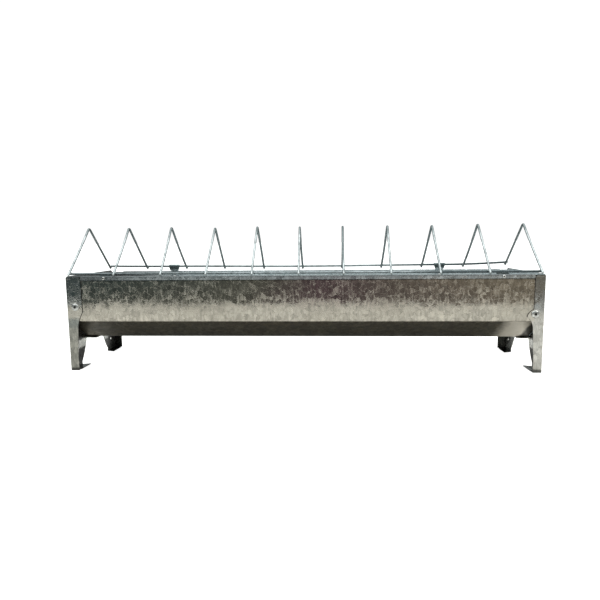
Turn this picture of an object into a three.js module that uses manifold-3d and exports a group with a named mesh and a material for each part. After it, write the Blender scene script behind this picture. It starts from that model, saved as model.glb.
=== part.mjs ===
// Poultry trough feeder: a galvanised sheet trough riveted between two end plates whose corners run down
// as legs, under a hinged anti-waste grille of inverted-V wire hoops welded to two long rails.
//
// Millimetres, +Z up. The origin is on the ground under the middle of the trough. +X runs along the
// trough, -Y is the front (the side the grille opens from) and +Y is the rear, where its hinge is.

import * as THREE from 'three';
import { mergeVertices } from 'three/addons/utils/BufferGeometryUtils.js';
import Module from 'manifold-3d';

const wasm = await Module();
wasm.setup();

// ---------------------------------------------------------------- driving dimensions

const LENGTH = 500; // over the outer faces of the two end plates
const WIDTH = 120; // over the front and rear flanges of the end plates
const RIM_Z = 102.5; // top edge of the front wall
const REAR_RIM_DROP = 3.3; // the rear wall is lower by this much, to make room for the hinged rail
const PLATE_REAR_DROP = 2; // and the end plates' top edges slope down to this far under the rim
const WALL_FOOT_Z = 54; // where a vertical wall turns in towards the bottom
const BOTTOM_Z = 30; // underside of the trough's flat bottom
const BOTTOM_WIDTH = 40; // width of the flat bottom
const SHEET = 0.8; // thickness of the trough and the end plates
const GAP = 0.3; // clearance between neighbouring pieces

const HEM_HEIGHT = 4.3; // edge of the long walls, folded outwards
const HEM_THICKNESS = 1.1;

const FLANGE_TOP_WIDTH = { left: 16, right: 10 }; // flange of an end plate where it laps the trough wall
const FLANGE_EAR_WIDTH = { left: 16, right: 16.5 }; // and where it swells into an ear round the rivet
const FLANGE_EAR_RISE = { left: 10, right: 4.5 }; // widest place of the ear, over the wall foot
const FLANGE_EAR_HEIGHT = 8; // from there to where the ear runs out
const FLANGE_LEG_WIDTH = 9; // the same flange where it is the front of the leg
const FLANGE_MID_DROP = 9; // it has its middle width this far under the wall foot
const FLANGE_MID_WIDTH = 10.5;
const FLANGE_NARROW_Z = 19; // and leg width from the ground to here
const FLANGE_TOP_DROP = 1.2; // each flange stops this far under the rim of its own wall
const CORNER_RADIUS = 3;

const LEG_TOP_WIDTH = 39; // web of a leg at the level of the bottom lip, across Y
const LEG_FOOT_WIDTH = 25; // web of a leg just above the foot pad
const LEG_CURVE_Y = 33; // control point of the leg's curved inner edge, in from the outer face
const LEG_CURVE_Z = 13;
const LEG_FOOT_Z = 4;
const LEG_HOLE_DIAMETER = 3; // nail hole in the web of each leg
const LEG_HOLE_INSET = 15;
const LEG_HOLE_Z = 14;

const PAD_WIDTH = 9; // foot pad, turned in under the trough
const PAD_LENGTH = 28;
const PAD_TOE = 7; // rounded corner at the pad's outer end
const PAD_HEEL = 3; // slanted end at the pad's inner end

const LIP_DEPTH = 13; // lip of an end plate, turned in under the trough's bottom
const LIP_GAP = 0.9;

const WIRE = 2.5; // diameter of the rails and hoops
const HOOP_COUNT = 11;
const HOOP_END_INSET = 3.25; // centre of the last hoop, in from the outer face of the end plate
const HOOP_RISE = 52.1; // from the front rim to where the two straight legs would meet
const HOOP_BEND = 3.5; // how far from that point the bend starts
const HOOP_REAR_TAIL = 1; // wire past the weld on the rear rail
const RAIL_OVERHANG = 1.6; // rail past the centre of the last hoop
const REAR_RAIL_RISE = 2.7; // centre of each rail, over the front rim
const FRONT_RAIL_RISE = 2.3;
const FRONT_RAIL_INSET = 3.8; // centre of the front rail, in from the wall

const CLIP_OFFSET = 6.7; // from midway between the second and third hoops, towards the middle
const CLIP_SHEET = 0.6;
const CLIP_TOP_WIDTH = 13;
const CLIP_TIP_WIDTH = 9.5;
const CLIP_TIP_DROP = 2.5; // free end of the strap, under the front rim
const CLIP_FOOT_DROP = 15.5; // end of the strap that is riveted to the rear wall, under the same rim
const CLIP_RIVET_DROP = 10.5;

const REST_OFFSET = 11.1; // from the second hoop, towards the end
const REST_WIDTH = 12;
const REST_FOOT_DROP = 7.5;
const REST_SHELF = 4.6;

const CORNER_RIVET = { head: 8.2, rise: 1.3, shank: 4, tail: 6.4, tailRise: 0.9 };
const CORNER_RIVET_INSET = 8.9; // from the outer face of the end plate
const CORNER_RIVET_RISE_LEFT = 15.5; // over the wall foot; set by hand, so the two ends differ
const CORNER_RIVET_RISE_RIGHT = 7.5;
const CLIP_RIVET = { head: 5, rise: 0.8, shank: 2.6, tail: 5, tailRise: 0.8 };
const REST_RIVET = { head: 3.4, rise: 0.8, shank: 1.8, tail: 3.4, tailRise: 0.7 };

const ROUND = 16; // facets of rivets and holes
const WIRE_FACETS = 8;
const HOOP_STEPS = 36;

// ---------------------------------------------------------------- derived places

const REAR_RIM_Z = RIM_Z - REAR_RIM_DROP;
const HALF_LENGTH = LENGTH / 2;
const HALF_WIDTH = WIDTH / 2;
const PLATE_INNER_X = HALF_LENGTH - SHEET;
const TROUGH_HALF_LENGTH = PLATE_INNER_X - GAP;
const FLANGE_INNER_Y = HALF_WIDTH - SHEET;
const WALL_OUTER_Y = FLANGE_INNER_Y - GAP;
const WALL_INNER_Y = WALL_OUTER_Y - SHEET;
const HEM_END_X = {
  left: -(HALF_LENGTH - FLANGE_TOP_WIDTH.left - GAP),
  right: HALF_LENGTH - FLANGE_TOP_WIDTH.right - GAP,
};
const LIP_TOP_Z = BOTTOM_Z - LIP_GAP;
const LIP_UNDER_Z = LIP_TOP_Z - SHEET;
const WIRE_RADIUS = WIRE / 2;
const CLIP_BORE = WIRE_RADIUS + GAP;
const CLIP_OUTER = CLIP_BORE + CLIP_SHEET;
const REAR_RAIL_Y = WALL_INNER_Y - GAP - CLIP_OUTER;
const REAR_RAIL_Z = RIM_Z + REAR_RAIL_RISE;
const FRONT_RAIL_Y = -(WALL_INNER_Y - FRONT_RAIL_INSET);
const FRONT_RAIL_Z = RIM_Z + FRONT_RAIL_RISE;
const WELD_SPACING = WIRE + GAP; // rail centre to hoop centre
const HOOP_APEX_Z = RIM_Z + HOOP_RISE;
const HOOP_SPAN = LENGTH - 2 * HOOP_END_INSET;
const HOOP_PITCH = HOOP_SPAN / (HOOP_COUNT - 1);
const RAIL_LENGTH = HOOP_SPAN + 2 * RAIL_OVERHANG;
const CLIP_X = HOOP_SPAN / 2 - 1.5 * HOOP_PITCH - CLIP_OFFSET;
const CLIP_TIP_Z = RIM_Z - CLIP_TIP_DROP;
const CLIP_FOOT_Z = RIM_Z - CLIP_FOOT_DROP;
const CLIP_RIVET_Z = RIM_Z - CLIP_RIVET_DROP;
const REST_X = HOOP_SPAN / 2 - HOOP_PITCH + REST_OFFSET;
const REST_TOP_Z = FRONT_RAIL_Z - WIRE_RADIUS - GAP;
const REST_FOOT_Z = RIM_Z - REST_FOOT_DROP;
const REST_OUTER_Y = -(WALL_INNER_Y - GAP);
const REST_RIVET_Z = RIM_Z - HEM_HEIGHT / 2;
const CORNER_RIVET_X = HALF_LENGTH - CORNER_RIVET_INSET;
const CORNER_RIVET_Z = {
  left: WALL_FOOT_Z + CORNER_RIVET_RISE_LEFT,
  right: WALL_FOOT_Z + CORNER_RIVET_RISE_RIGHT,
};

// ---------------------------------------------------------------- finishes

const zinc = new THREE.MeshStandardMaterial({ color: 0x8c8d84, roughness: 0.42, metalness: 1 });
const legZinc = new THREE.MeshStandardMaterial({ color: 0xa3a296, roughness: 0.45, metalness: 1 });
const wireZinc = new THREE.MeshStandardMaterial({ color: 0xb4b9b8, roughness: 0.35, metalness: 1 });
const clipZinc = new THREE.MeshStandardMaterial({ color: 0x4b5354, roughness: 0.5, metalness: 1 });
const rivetZinc = new THREE.MeshStandardMaterial({ color: 0xb9bab4, roughness: 0.3, metalness: 1 });

// ---------------------------------------------------------------- helpers

const alongX = new THREE.Matrix4().makeBasis(
  new THREE.Vector3(0, 1, 0), new THREE.Vector3(0, 0, 1), new THREE.Vector3(1, 0, 0));
const alongMinusY = new THREE.Matrix4().makeBasis(
  new THREE.Vector3(1, 0, 0), new THREE.Vector3(0, 0, 1), new THREE.Vector3(0, -1, 0));

/** Extrudes a flat shape by a depth, with the shape's curves cut into a few segments. */
function plate(shape, depth) {
  return new THREE.ExtrudeGeometry(shape, { depth, bevelEnabled: false, curveSegments: 6 });
}

/** A shape drawn in (Y, Z), extruded along +X from startX. */
function slabX(shape, startX, depth) {
  return plate(shape, depth).applyMatrix4(alongX).translate(startX, 0, 0);
}

/** A shape drawn in (X, Z), extruded towards -Y from startY. */
function slabY(shape, startY, depth) {
  return plate(shape, depth).applyMatrix4(alongMinusY).translate(0, startY, 0);
}

/** A closed polygon through the given [u, v] points. */
function polygon(points) {
  return new THREE.Shape(points.map(([u, v]) => new THREE.Vector2(u, v)));
}

/** A box between two corners. */
function block([x0, y0, z0], [x1, y1, z1]) {
  return new THREE.BoxGeometry(x1 - x0, y1 - y0, z1 - z0)
    .translate((x0 + x1) / 2, (y0 + y1) / 2, (z0 + z1) / 2);
}

/** A cylinder along Y, centred on (x, y, z). */
function cylinderY(radius, length, x, y, z) {
  return new THREE.CylinderGeometry(radius, radius, length, ROUND).translate(x, y, z);
}

/** A three.js geometry as a manifold solid. */
function toSolid(geometry) {
  const bare = geometry.clone();
  bare.deleteAttribute('normal');
  bare.deleteAttribute('uv');
  const merged = mergeVertices(bare, 1e-4);
  return new wasm.Manifold(new wasm.Mesh({
    numProp: 3,
    vertProperties: new Float32Array(merged.attributes.position.array),
    triVerts: new Uint32Array(merged.index.array),
  }));
}

/** A manifold solid as a three.js geometry. */
function toGeometry(solid) {
  const mesh = solid.getMesh();
  const geometry = new THREE.BufferGeometry();
  geometry.setAttribute('position', new THREE.BufferAttribute(mesh.vertProperties, 3));
  geometry.setIndex(new THREE.BufferAttribute(mesh.triVerts, 1));
  geometry.computeVertexNormals();
  return geometry;
}

/** Joins geometries, then cuts others out of the result. */
function joined(pieces, cuts = []) {
  let solid = toSolid(pieces[0]);
  for (const piece of pieces.slice(1)) solid = solid.add(toSolid(piece));
  for (const cut of cuts) solid = solid.subtract(toSolid(cut));
  return toGeometry(solid);
}

const feeder = new THREE.Group();
const grille = new THREE.Group();
feeder.add(grille);

/** Adds one named mesh to a group and returns it. */
function addMesh(name, geometry, material, parent = feeder) {
  const mesh = new THREE.Mesh(geometry, material);
  mesh.name = name;
  parent.add(mesh);
  return mesh;
}

const sides = [['left', -1], ['right', 1]];

// ---------------------------------------------------------------- trough

/** Section of the trough sheet in (Y, Z): outside down and up again, then back along the inside. */
function troughSection() {
  const halfBottom = BOTTOM_WIDTH / 2;
  const slope = Math.atan2(WALL_FOOT_Z - BOTTOM_Z, WALL_OUTER_Y - halfBottom);
  const footRise = SHEET * Math.tan(Math.PI / 4 - slope / 2); // inside corner at the foot of a wall
  const bottomInset = SHEET * Math.tan(slope / 2); // inside corner at the edge of the bottom
  const outside = [
    [-WALL_OUTER_Y, RIM_Z], [-WALL_OUTER_Y, WALL_FOOT_Z], [-halfBottom, BOTTOM_Z],
    [halfBottom, BOTTOM_Z], [WALL_OUTER_Y, WALL_FOOT_Z], [WALL_OUTER_Y, REAR_RIM_Z],
  ];
  const innerHalf = halfBottom - bottomInset;
  const inside = [
    [WALL_INNER_Y, REAR_RIM_Z], [WALL_INNER_Y, WALL_FOOT_Z + footRise], [innerHalf, BOTTOM_Z + SHEET],
    [-innerHalf, BOTTOM_Z + SHEET], [-WALL_INNER_Y, WALL_FOOT_Z + footRise], [-WALL_INNER_Y, RIM_Z],
  ];
  return polygon([...outside, ...inside]);
}

/** The folded sheet trough with its outward hems, and a hole for every rivet. */
function troughGeometry() {
  const wallLap = SHEET / 2; // the hem is joined this deep into the wall
  const hemInner = WALL_OUTER_Y - wallLap;
  const hemOuter = WALL_OUTER_Y + HEM_THICKNESS;
  const hems = [
    block([HEM_END_X.left, -hemOuter, RIM_Z - HEM_HEIGHT], [HEM_END_X.right, -hemInner, RIM_Z]),
    block([HEM_END_X.left, hemInner, REAR_RIM_Z - HEM_HEIGHT], [HEM_END_X.right, hemOuter, REAR_RIM_Z]),
  ];
  const drill = 6; // long enough to pass one wall and its hem
  const hole = (rivet, x, y, z) => cylinderY(rivet.shank / 2 + GAP, drill, x, y, z);
  const holes = sides.flatMap(([end, sign]) => [
    hole(CORNER_RIVET, sign * CORNER_RIVET_X, -WALL_OUTER_Y, CORNER_RIVET_Z[end]),
    hole(CORNER_RIVET, sign * CORNER_RIVET_X, WALL_OUTER_Y, CORNER_RIVET_Z[end]),
    hole(CLIP_RIVET, sign * CLIP_X, WALL_OUTER_Y, CLIP_RIVET_Z),
    hole(REST_RIVET, sign * REST_X, -WALL_OUTER_Y, REST_RIVET_Z),
  ]);
  const body = slabX(troughSection(), -TROUGH_HALF_LENGTH, 2 * TROUGH_HALF_LENGTH);
  return joined([body, ...hems], holes);
}

addMesh('trough_body', troughGeometry(), zinc);

// ---------------------------------------------------------------- end plates with their legs

/** Outline of the plate in (Y, Z): a sloping top with rounded corners, and an arch between two legs. */
function endPlateOutline() {
  const rearTop = RIM_Z - PLATE_REAR_DROP;
  const legTopY = HALF_WIDTH - LEG_TOP_WIDTH;
  const legFootY = HALF_WIDTH - LEG_FOOT_WIDTH;
  const curveY = HALF_WIDTH - LEG_CURVE_Y;
  const shape = new THREE.Shape();
  shape.moveTo(HALF_WIDTH, 0);
  shape.lineTo(HALF_WIDTH, rearTop - CORNER_RADIUS);
  shape.absarc(HALF_WIDTH - CORNER_RADIUS, rearTop - CORNER_RADIUS, CORNER_RADIUS, 0, Math.PI / 2);
  shape.lineTo(-HALF_WIDTH + CORNER_RADIUS, RIM_Z);
  shape.absarc(-HALF_WIDTH + CORNER_RADIUS, RIM_Z - CORNER_RADIUS, CORNER_RADIUS, Math.PI / 2, Math.PI);
  shape.lineTo(-HALF_WIDTH, 0);
  shape.lineTo(-legFootY, 0);
  shape.lineTo(-legFootY, LEG_FOOT_Z);
  shape.quadraticCurveTo(-curveY, LEG_CURVE_Z, -legTopY, LIP_UNDER_Z);
  shape.lineTo(legTopY, LIP_UNDER_Z);
  shape.quadraticCurveTo(curveY, LEG_CURVE_Z, legFootY, LEG_FOOT_Z);
  shape.lineTo(legFootY, 0);
  for (const side of [-1, 1]) {
    const hole = new THREE.Path();
    hole.absarc(side * (HALF_WIDTH - LEG_HOLE_INSET), LEG_HOLE_Z, LEG_HOLE_DIAMETER / 2, 0, 2 * Math.PI);
    shape.holes.push(hole);
  }
  return shape;
}

/**
 * Outline of a flange in (X, Z), drawn at the left end: it laps a wall up to its rim and faces the leg
 * below. The flanges of the two ends differ in width, so end says whose it is.
 */
function flangeOutline(end, rimZ) {
  const x = (inset) => -HALF_LENGTH + inset;
  const top = rimZ - FLANGE_TOP_DROP;
  const width = FLANGE_TOP_WIDTH[end];
  const ear = FLANGE_EAR_WIDTH[end];
  const earZ = WALL_FOOT_Z + FLANGE_EAR_RISE[end];
  const shape = new THREE.Shape();
  shape.moveTo(x(0), 0);
  shape.lineTo(x(FLANGE_LEG_WIDTH), 0);
  shape.lineTo(x(FLANGE_LEG_WIDTH), FLANGE_NARROW_Z);
  shape.lineTo(x(FLANGE_MID_WIDTH), WALL_FOOT_Z - FLANGE_MID_DROP);
  shape.quadraticCurveTo(x(FLANGE_MID_WIDTH), WALL_FOOT_Z, x(ear), earZ);
  shape.quadraticCurveTo(x(ear), earZ + FLANGE_EAR_HEIGHT / 2, x(width), earZ + FLANGE_EAR_HEIGHT);
  shape.lineTo(x(width), top - CORNER_RADIUS);
  shape.absarc(x(width - CORNER_RADIUS), top - CORNER_RADIUS, CORNER_RADIUS, 0, Math.PI / 2);
  shape.lineTo(x(0), top);
  return shape;
}

/** Outline of a foot pad in (X, Y) at the left end; side is -1 at the front and 1 at the rear. */
function padOutline(side) {
  const x = (inset) => -HALF_LENGTH + inset;
  const outer = HALF_WIDTH;
  const inner = HALF_WIDTH - PAD_LENGTH;
  const shape = new THREE.Shape();
  shape.moveTo(x(0), side * outer);
  shape.lineTo(x(PAD_WIDTH - PAD_TOE), side * outer);
  shape.quadraticCurveTo(x(PAD_WIDTH), side * outer, x(PAD_WIDTH), side * (outer - PAD_TOE));
  shape.lineTo(x(PAD_WIDTH), side * inner);
  shape.lineTo(x(0), side * (inner + PAD_HEEL));
  return shape;
}

/** An end plate, drawn at the left end, with its flanges, foot pads, bottom lip and holes. */
function endPlateGeometry(end) {
  const web = slabX(endPlateOutline(), -HALF_LENGTH, SHEET);
  const frontFlange = slabY(flangeOutline(end, RIM_Z), -FLANGE_INNER_Y, SHEET);
  const rearFlange = slabY(flangeOutline(end, REAR_RIM_Z), HALF_WIDTH, SHEET);
  const pads = [-1, 1].map((side) => plate(padOutline(side), SHEET));
  const lipHalf = HALF_WIDTH - LEG_TOP_WIDTH;
  const lip = block(
    [-HALF_LENGTH, -lipHalf, LIP_UNDER_Z], [-HALF_LENGTH + LIP_DEPTH, lipHalf, LIP_TOP_Z]);
  const holes = [-HALF_WIDTH, HALF_WIDTH].map((y) => (
    cylinderY(CORNER_RIVET.shank / 2 + GAP, 4 * SHEET, -CORNER_RIVET_X, y, CORNER_RIVET_Z[end])));
  return joined([web, frontFlange, rearFlange, ...pads, lip], holes);
}

/** The mirror image of a geometry across X = 0, with its triangles turned to face outwards again. */
function mirroredX(geometry) {
  const image = geometry.clone().scale(-1, 1, 1);
  const corners = image.index.array;
  for (let i = 0; i < corners.length; i += 3) {
    [corners[i], corners[i + 1]] = [corners[i + 1], corners[i]];
  }
  image.computeVertexNormals();
  return image;
}

addMesh('end_plate_left', endPlateGeometry('left'), legZinc);
addMesh('end_plate_right', mirroredX(endPlateGeometry('right')), legZinc);

// ---------------------------------------------------------------- rivets

/** A rivet along +Y from its domed head; grip is the stack of sheet that it holds, gaps included. */
function rivetGeometry(size, grip) {
  const head = size.head / 2;
  const shank = size.shank / 2;
  const tail = size.tail / 2;
  const domeSteps = 4;
  const profile = [];
  for (let i = 0; i <= domeSteps; i += 1) {
    const angle = (i / domeSteps) * (Math.PI / 2);
    profile.push(new THREE.Vector2(head * Math.sin(angle), -size.rise * Math.cos(angle)));
  }
  profile.push(new THREE.Vector2(shank, 0), new THREE.Vector2(shank, grip));
  profile.push(new THREE.Vector2(tail, grip), new THREE.Vector2(tail * 0.8, grip + size.tailRise));
  profile.push(new THREE.Vector2(0, grip + size.tailRise));
  return new THREE.LatheGeometry(profile, ROUND);
}

/** Adds a rivet whose head sits outside a wall; side is -1 for the front wall and 1 for the rear. */
function addRivet(name, size, x, z, outerY, innerY, side) {
  const grip = outerY - innerY + 2 * GAP;
  const mesh = addMesh(name, rivetGeometry(size, grip), rivetZinc);
  mesh.position.set(x, side * (outerY + GAP), z);
  if (side > 0) mesh.rotation.z = Math.PI;
  return mesh;
}

for (const [end, sign] of sides) {
  for (const [wall, side] of [['front', -1], ['rear', 1]]) {
    addRivet(`rivet_${wall}_${end}`, CORNER_RIVET, sign * CORNER_RIVET_X, CORNER_RIVET_Z[end],
      HALF_WIDTH, WALL_INNER_Y, side);
  }
}

// ---------------------------------------------------------------- hinge clips on the rear wall

/** Side view of a clip in (Y, Z): a strap up the wall, round the rail, and down to a free tip. */
function clipProfile() {
  const shape = new THREE.Shape();
  shape.moveTo(REAR_RAIL_Y + CLIP_OUTER, CLIP_FOOT_Z);
  shape.lineTo(REAR_RAIL_Y + CLIP_OUTER, REAR_RAIL_Z);
  shape.absarc(REAR_RAIL_Y, REAR_RAIL_Z, CLIP_OUTER, 0, Math.PI);
  shape.lineTo(REAR_RAIL_Y - CLIP_OUTER, CLIP_TIP_Z);
  shape.lineTo(REAR_RAIL_Y - CLIP_BORE, CLIP_TIP_Z);
  shape.lineTo(REAR_RAIL_Y - CLIP_BORE, REAR_RAIL_Z);
  shape.absarc(REAR_RAIL_Y, REAR_RAIL_Z, CLIP_BORE, Math.PI, 0, true);
  shape.lineTo(REAR_RAIL_Y + CLIP_BORE, CLIP_FOOT_Z);
  return shape;
}

/** Front view of a clip in (X, Z), widest round the rail and tapered to its tip and foot. */
function clipTaper(x) {
  const top = REAR_RAIL_Z + CLIP_OUTER + GAP;
  const wide = CLIP_TOP_WIDTH / 2;
  const narrow = CLIP_TIP_WIDTH / 2;
  return polygon([
    [x - wide, top], [x - wide, REAR_RAIL_Z], [x - narrow, CLIP_TIP_Z], [x - narrow, CLIP_FOOT_Z - GAP],
    [x + narrow, CLIP_FOOT_Z - GAP], [x + narrow, CLIP_TIP_Z], [x + wide, REAR_RAIL_Z], [x + wide, top],
  ]);
}

/** One hinge clip, drilled for its rivet. */
function clipGeometry(x) {
  const strap = toSolid(slabX(clipProfile(), x - CLIP_TOP_WIDTH / 2, CLIP_TOP_WIDTH));
  const taper = toSolid(slabY(clipTaper(x), WALL_INNER_Y, 4 * CLIP_OUTER));
  const hole = toSolid(cylinderY(CLIP_RIVET.shank / 2 + GAP, 4 * CLIP_SHEET,
    x, REAR_RAIL_Y + CLIP_OUTER - CLIP_SHEET / 2, CLIP_RIVET_Z));
  return toGeometry(strap.intersect(taper).subtract(hole));
}

for (const [end, sign] of sides) {
  addMesh(`hinge_clip_${end}`, clipGeometry(sign * CLIP_X), clipZinc);
  addRivet(`clip_rivet_${end}`, CLIP_RIVET, sign * CLIP_X, CLIP_RIVET_Z,
    WALL_OUTER_Y, REAR_RAIL_Y + CLIP_BORE, 1);
}

// ---------------------------------------------------------------- rests for the front rail

/** One rest: a leg against the inside of the front wall, and a shelf on top under the front rail. */
function restGeometry(x) {
  const legInner = REST_OUTER_Y + SHEET;
  const profile = polygon([
    [REST_OUTER_Y, REST_FOOT_Z], [legInner, REST_FOOT_Z], [legInner, REST_TOP_Z - SHEET],
    [REST_OUTER_Y + REST_SHELF, REST_TOP_Z - SHEET], [REST_OUTER_Y + REST_SHELF, REST_TOP_Z],
    [REST_OUTER_Y, REST_TOP_Z],
  ]);
  const lug = slabX(profile, x - REST_WIDTH / 2, REST_WIDTH);
  const hole = cylinderY(REST_RIVET.shank / 2 + GAP, 4 * SHEET, x, REST_OUTER_Y, REST_RIVET_Z);
  return joined([lug], [hole]);
}

for (const [end, sign] of sides) {
  addMesh(`front_rest_${end}`, restGeometry(sign * REST_X), clipZinc);
  addRivet(`rest_rivet_${end}`, REST_RIVET, sign * REST_X, REST_RIVET_Z,
    WALL_OUTER_Y + HEM_THICKNESS, -(REST_OUTER_Y + SHEET), -1);
}

// ---------------------------------------------------------------- grille: two rails and the hoops

/** A straight rail along X. */
function railGeometry() {
  return new THREE.CylinderGeometry(WIRE_RADIUS, WIRE_RADIUS, RAIL_LENGTH, WIRE_FACETS)
    .rotateZ(Math.PI / 2);
}

addMesh('rail_rear', railGeometry(), wireZinc, grille).position.set(0, REAR_RAIL_Y, REAR_RAIL_Z);
addMesh('rail_front', railGeometry(), wireZinc, grille).position.set(0, FRONT_RAIL_Y, FRONT_RAIL_Z);

/**
 * Where a leg from the apex passes a rail, one weld spacing from its centre.
 * over is 1 when the wire crosses above the rail and -1 when it crosses below.
 */
function legPast(railY, railZ, over) {
  const side = Math.sign(railY);
  const run = Math.abs(railY);
  const drop = HOOP_APEX_Z - railZ;
  const reach = Math.hypot(run, drop);
  const angle = Math.atan2(drop, run) - over * Math.asin(WELD_SPACING / reach);
  const along = Math.sqrt(reach ** 2 - WELD_SPACING ** 2);
  const direction = new THREE.Vector3(0, side * Math.cos(angle), -Math.sin(angle));
  return { angle, along, direction };
}

/** Centre line of a hoop in the plane X = 0, from the front foot over the apex to the rear tail. */
function hoopPath() {
  const apex = new THREE.Vector3(0, 0, HOOP_APEX_Z);
  const front = legPast(FRONT_RAIL_Y, FRONT_RAIL_Z, 1);
  const rear = legPast(REAR_RAIL_Y, REAR_RAIL_Z, -1);
  // The front foot stops just over the hem of the front wall.
  const footDrop = HOOP_APEX_Z - RIM_Z - GAP - WIRE_RADIUS * Math.cos(front.angle);
  const frontFoot = apex.clone().addScaledVector(front.direction, footDrop / Math.sin(front.angle));
  const rearTail = apex.clone().addScaledVector(rear.direction, rear.along + HOOP_REAR_TAIL);
  const bendFront = apex.clone().addScaledVector(front.direction, HOOP_BEND);
  const bendRear = apex.clone().addScaledVector(rear.direction, HOOP_BEND);
  const path = new THREE.CurvePath();
  path.add(new THREE.LineCurve3(frontFoot, bendFront));
  path.add(new THREE.QuadraticBezierCurve3(bendFront, apex, bendRear));
  path.add(new THREE.LineCurve3(bendRear, rearTail));
  return path;
}

/** The round section of the wire. */
function wireSection() {
  const points = [];
  for (let i = 0; i < WIRE_FACETS; i += 1) {
    const angle = (i / WIRE_FACETS) * 2 * Math.PI;
    points.push([WIRE_RADIUS * Math.cos(angle), WIRE_RADIUS * Math.sin(angle)]);
  }
  return polygon(points);
}

const hoopGeometry = new THREE.ExtrudeGeometry(
  wireSection(), { steps: HOOP_STEPS, extrudePath: hoopPath(), bevelEnabled: false });

for (let i = 0; i < HOOP_COUNT; i += 1) {
  const name = `hoop_${String(i + 1).padStart(2, '0')}`;
  addMesh(name, hoopGeometry, wireZinc, grille).position.x = -HOOP_SPAN / 2 + i * HOOP_PITCH;
}

export default feeder;
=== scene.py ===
"""Poultry trough feeder: the finished look of a galvanised sheet trough under a hinged wire grille.

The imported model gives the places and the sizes. Each sub-assembly is a class that reads its place from
the frame, makes its pieces with bmesh operators and dresses them in its own finish. Everything is in
metres: +X runs along the trough, -Y is the front and +Z is up.
"""

import logging
import math
import random
from dataclasses import dataclass
from enum import Enum
from typing import Callable, Iterable, Sequence

import bmesh
import bpy
from mathutils import Matrix, Vector, noise


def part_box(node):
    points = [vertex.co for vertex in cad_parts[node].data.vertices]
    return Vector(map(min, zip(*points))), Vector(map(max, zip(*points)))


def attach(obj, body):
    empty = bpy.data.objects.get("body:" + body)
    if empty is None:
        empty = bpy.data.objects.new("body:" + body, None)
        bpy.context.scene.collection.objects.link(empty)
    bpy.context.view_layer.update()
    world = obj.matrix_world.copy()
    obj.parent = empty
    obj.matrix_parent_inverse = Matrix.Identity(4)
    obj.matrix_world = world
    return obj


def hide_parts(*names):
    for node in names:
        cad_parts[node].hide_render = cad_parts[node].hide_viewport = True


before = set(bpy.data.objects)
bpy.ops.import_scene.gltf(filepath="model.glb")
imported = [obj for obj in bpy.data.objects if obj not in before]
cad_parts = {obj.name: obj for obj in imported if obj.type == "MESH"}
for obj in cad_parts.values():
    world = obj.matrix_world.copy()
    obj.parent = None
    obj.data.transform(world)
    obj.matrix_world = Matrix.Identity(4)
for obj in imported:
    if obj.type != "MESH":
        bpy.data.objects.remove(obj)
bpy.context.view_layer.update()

LOG = logging.getLogger("trough_feeder")

MM = 0.001
SHEET = 0.8 * MM
WIRE_RADIUS = 1.25 * MM
FOOT_HEIGHT = 54.0 * MM
HALF_BOTTOM = 20.0 * MM
CORNER_HEAD_RISE = 1.3 * MM
SMALL_HEAD_RISE = 0.8 * MM
MERGE_DISTANCE = 0.002 * MM
WELD_DISTANCE = 0.01 * MM
SMOOTH_ANGLE = math.radians(40)
SHARP_ANGLE = math.radians(50)
PARALLEL = 0.999
EASE_FACETS = 2

Colour = tuple[float, float, float]
Corner = tuple[float | None, float | None, float | None]

SHADOW: Colour = (0.05, 0.05, 0.045)
OPEN: Corner = (None, None, None)
FRONT_FLANGE: Corner = (None, -59.0 * MM, None)


class Body(Enum):
    """The two bodies of the feeder."""

    TROUGH = "trough"
    GRILLE = "grille"


class Slot(Enum):
    """Material slots of the record."""

    TROUGH = "trough_sheet"
    LEG = "leg_sheet"
    CLIP = "clip_sheet"
    RIVET = "rivet"
    WIRE = "wire"


class Side(Enum):
    """An end of the trough, with the sign of X there."""

    LEFT = -1
    RIGHT = 1

    @property
    def word(self) -> str:
        """The name of this end as node names spell it."""
        return self.name.lower()


class TroughFace(Enum):
    """Which face of the trough sheet a polygon belongs to, in the order of the piece's materials."""

    INSIDE = 0
    OUTSIDE = 1
    UNDERSIDE = 2
    HEM = 3


class PlateFace(Enum):
    """Which side of an end plate a polygon is on, in the order of the piece's materials."""

    OUTER = 0
    FEED = 1
    BACK = 2


# ---------------------------------------------------------------- node building


def fill_ramp(node: bpy.types.Node, stops: Sequence[tuple[float, Colour]]) -> None:
    """Gives a colour ramp its stops, each a position and a colour."""
    elements = node.color_ramp.elements
    while len(elements) < len(stops):
        elements.new(1.0)
    for element, (position, colour) in zip(elements, stops):
        element.position = position
        element.color = (*colour, 1.0)


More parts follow.
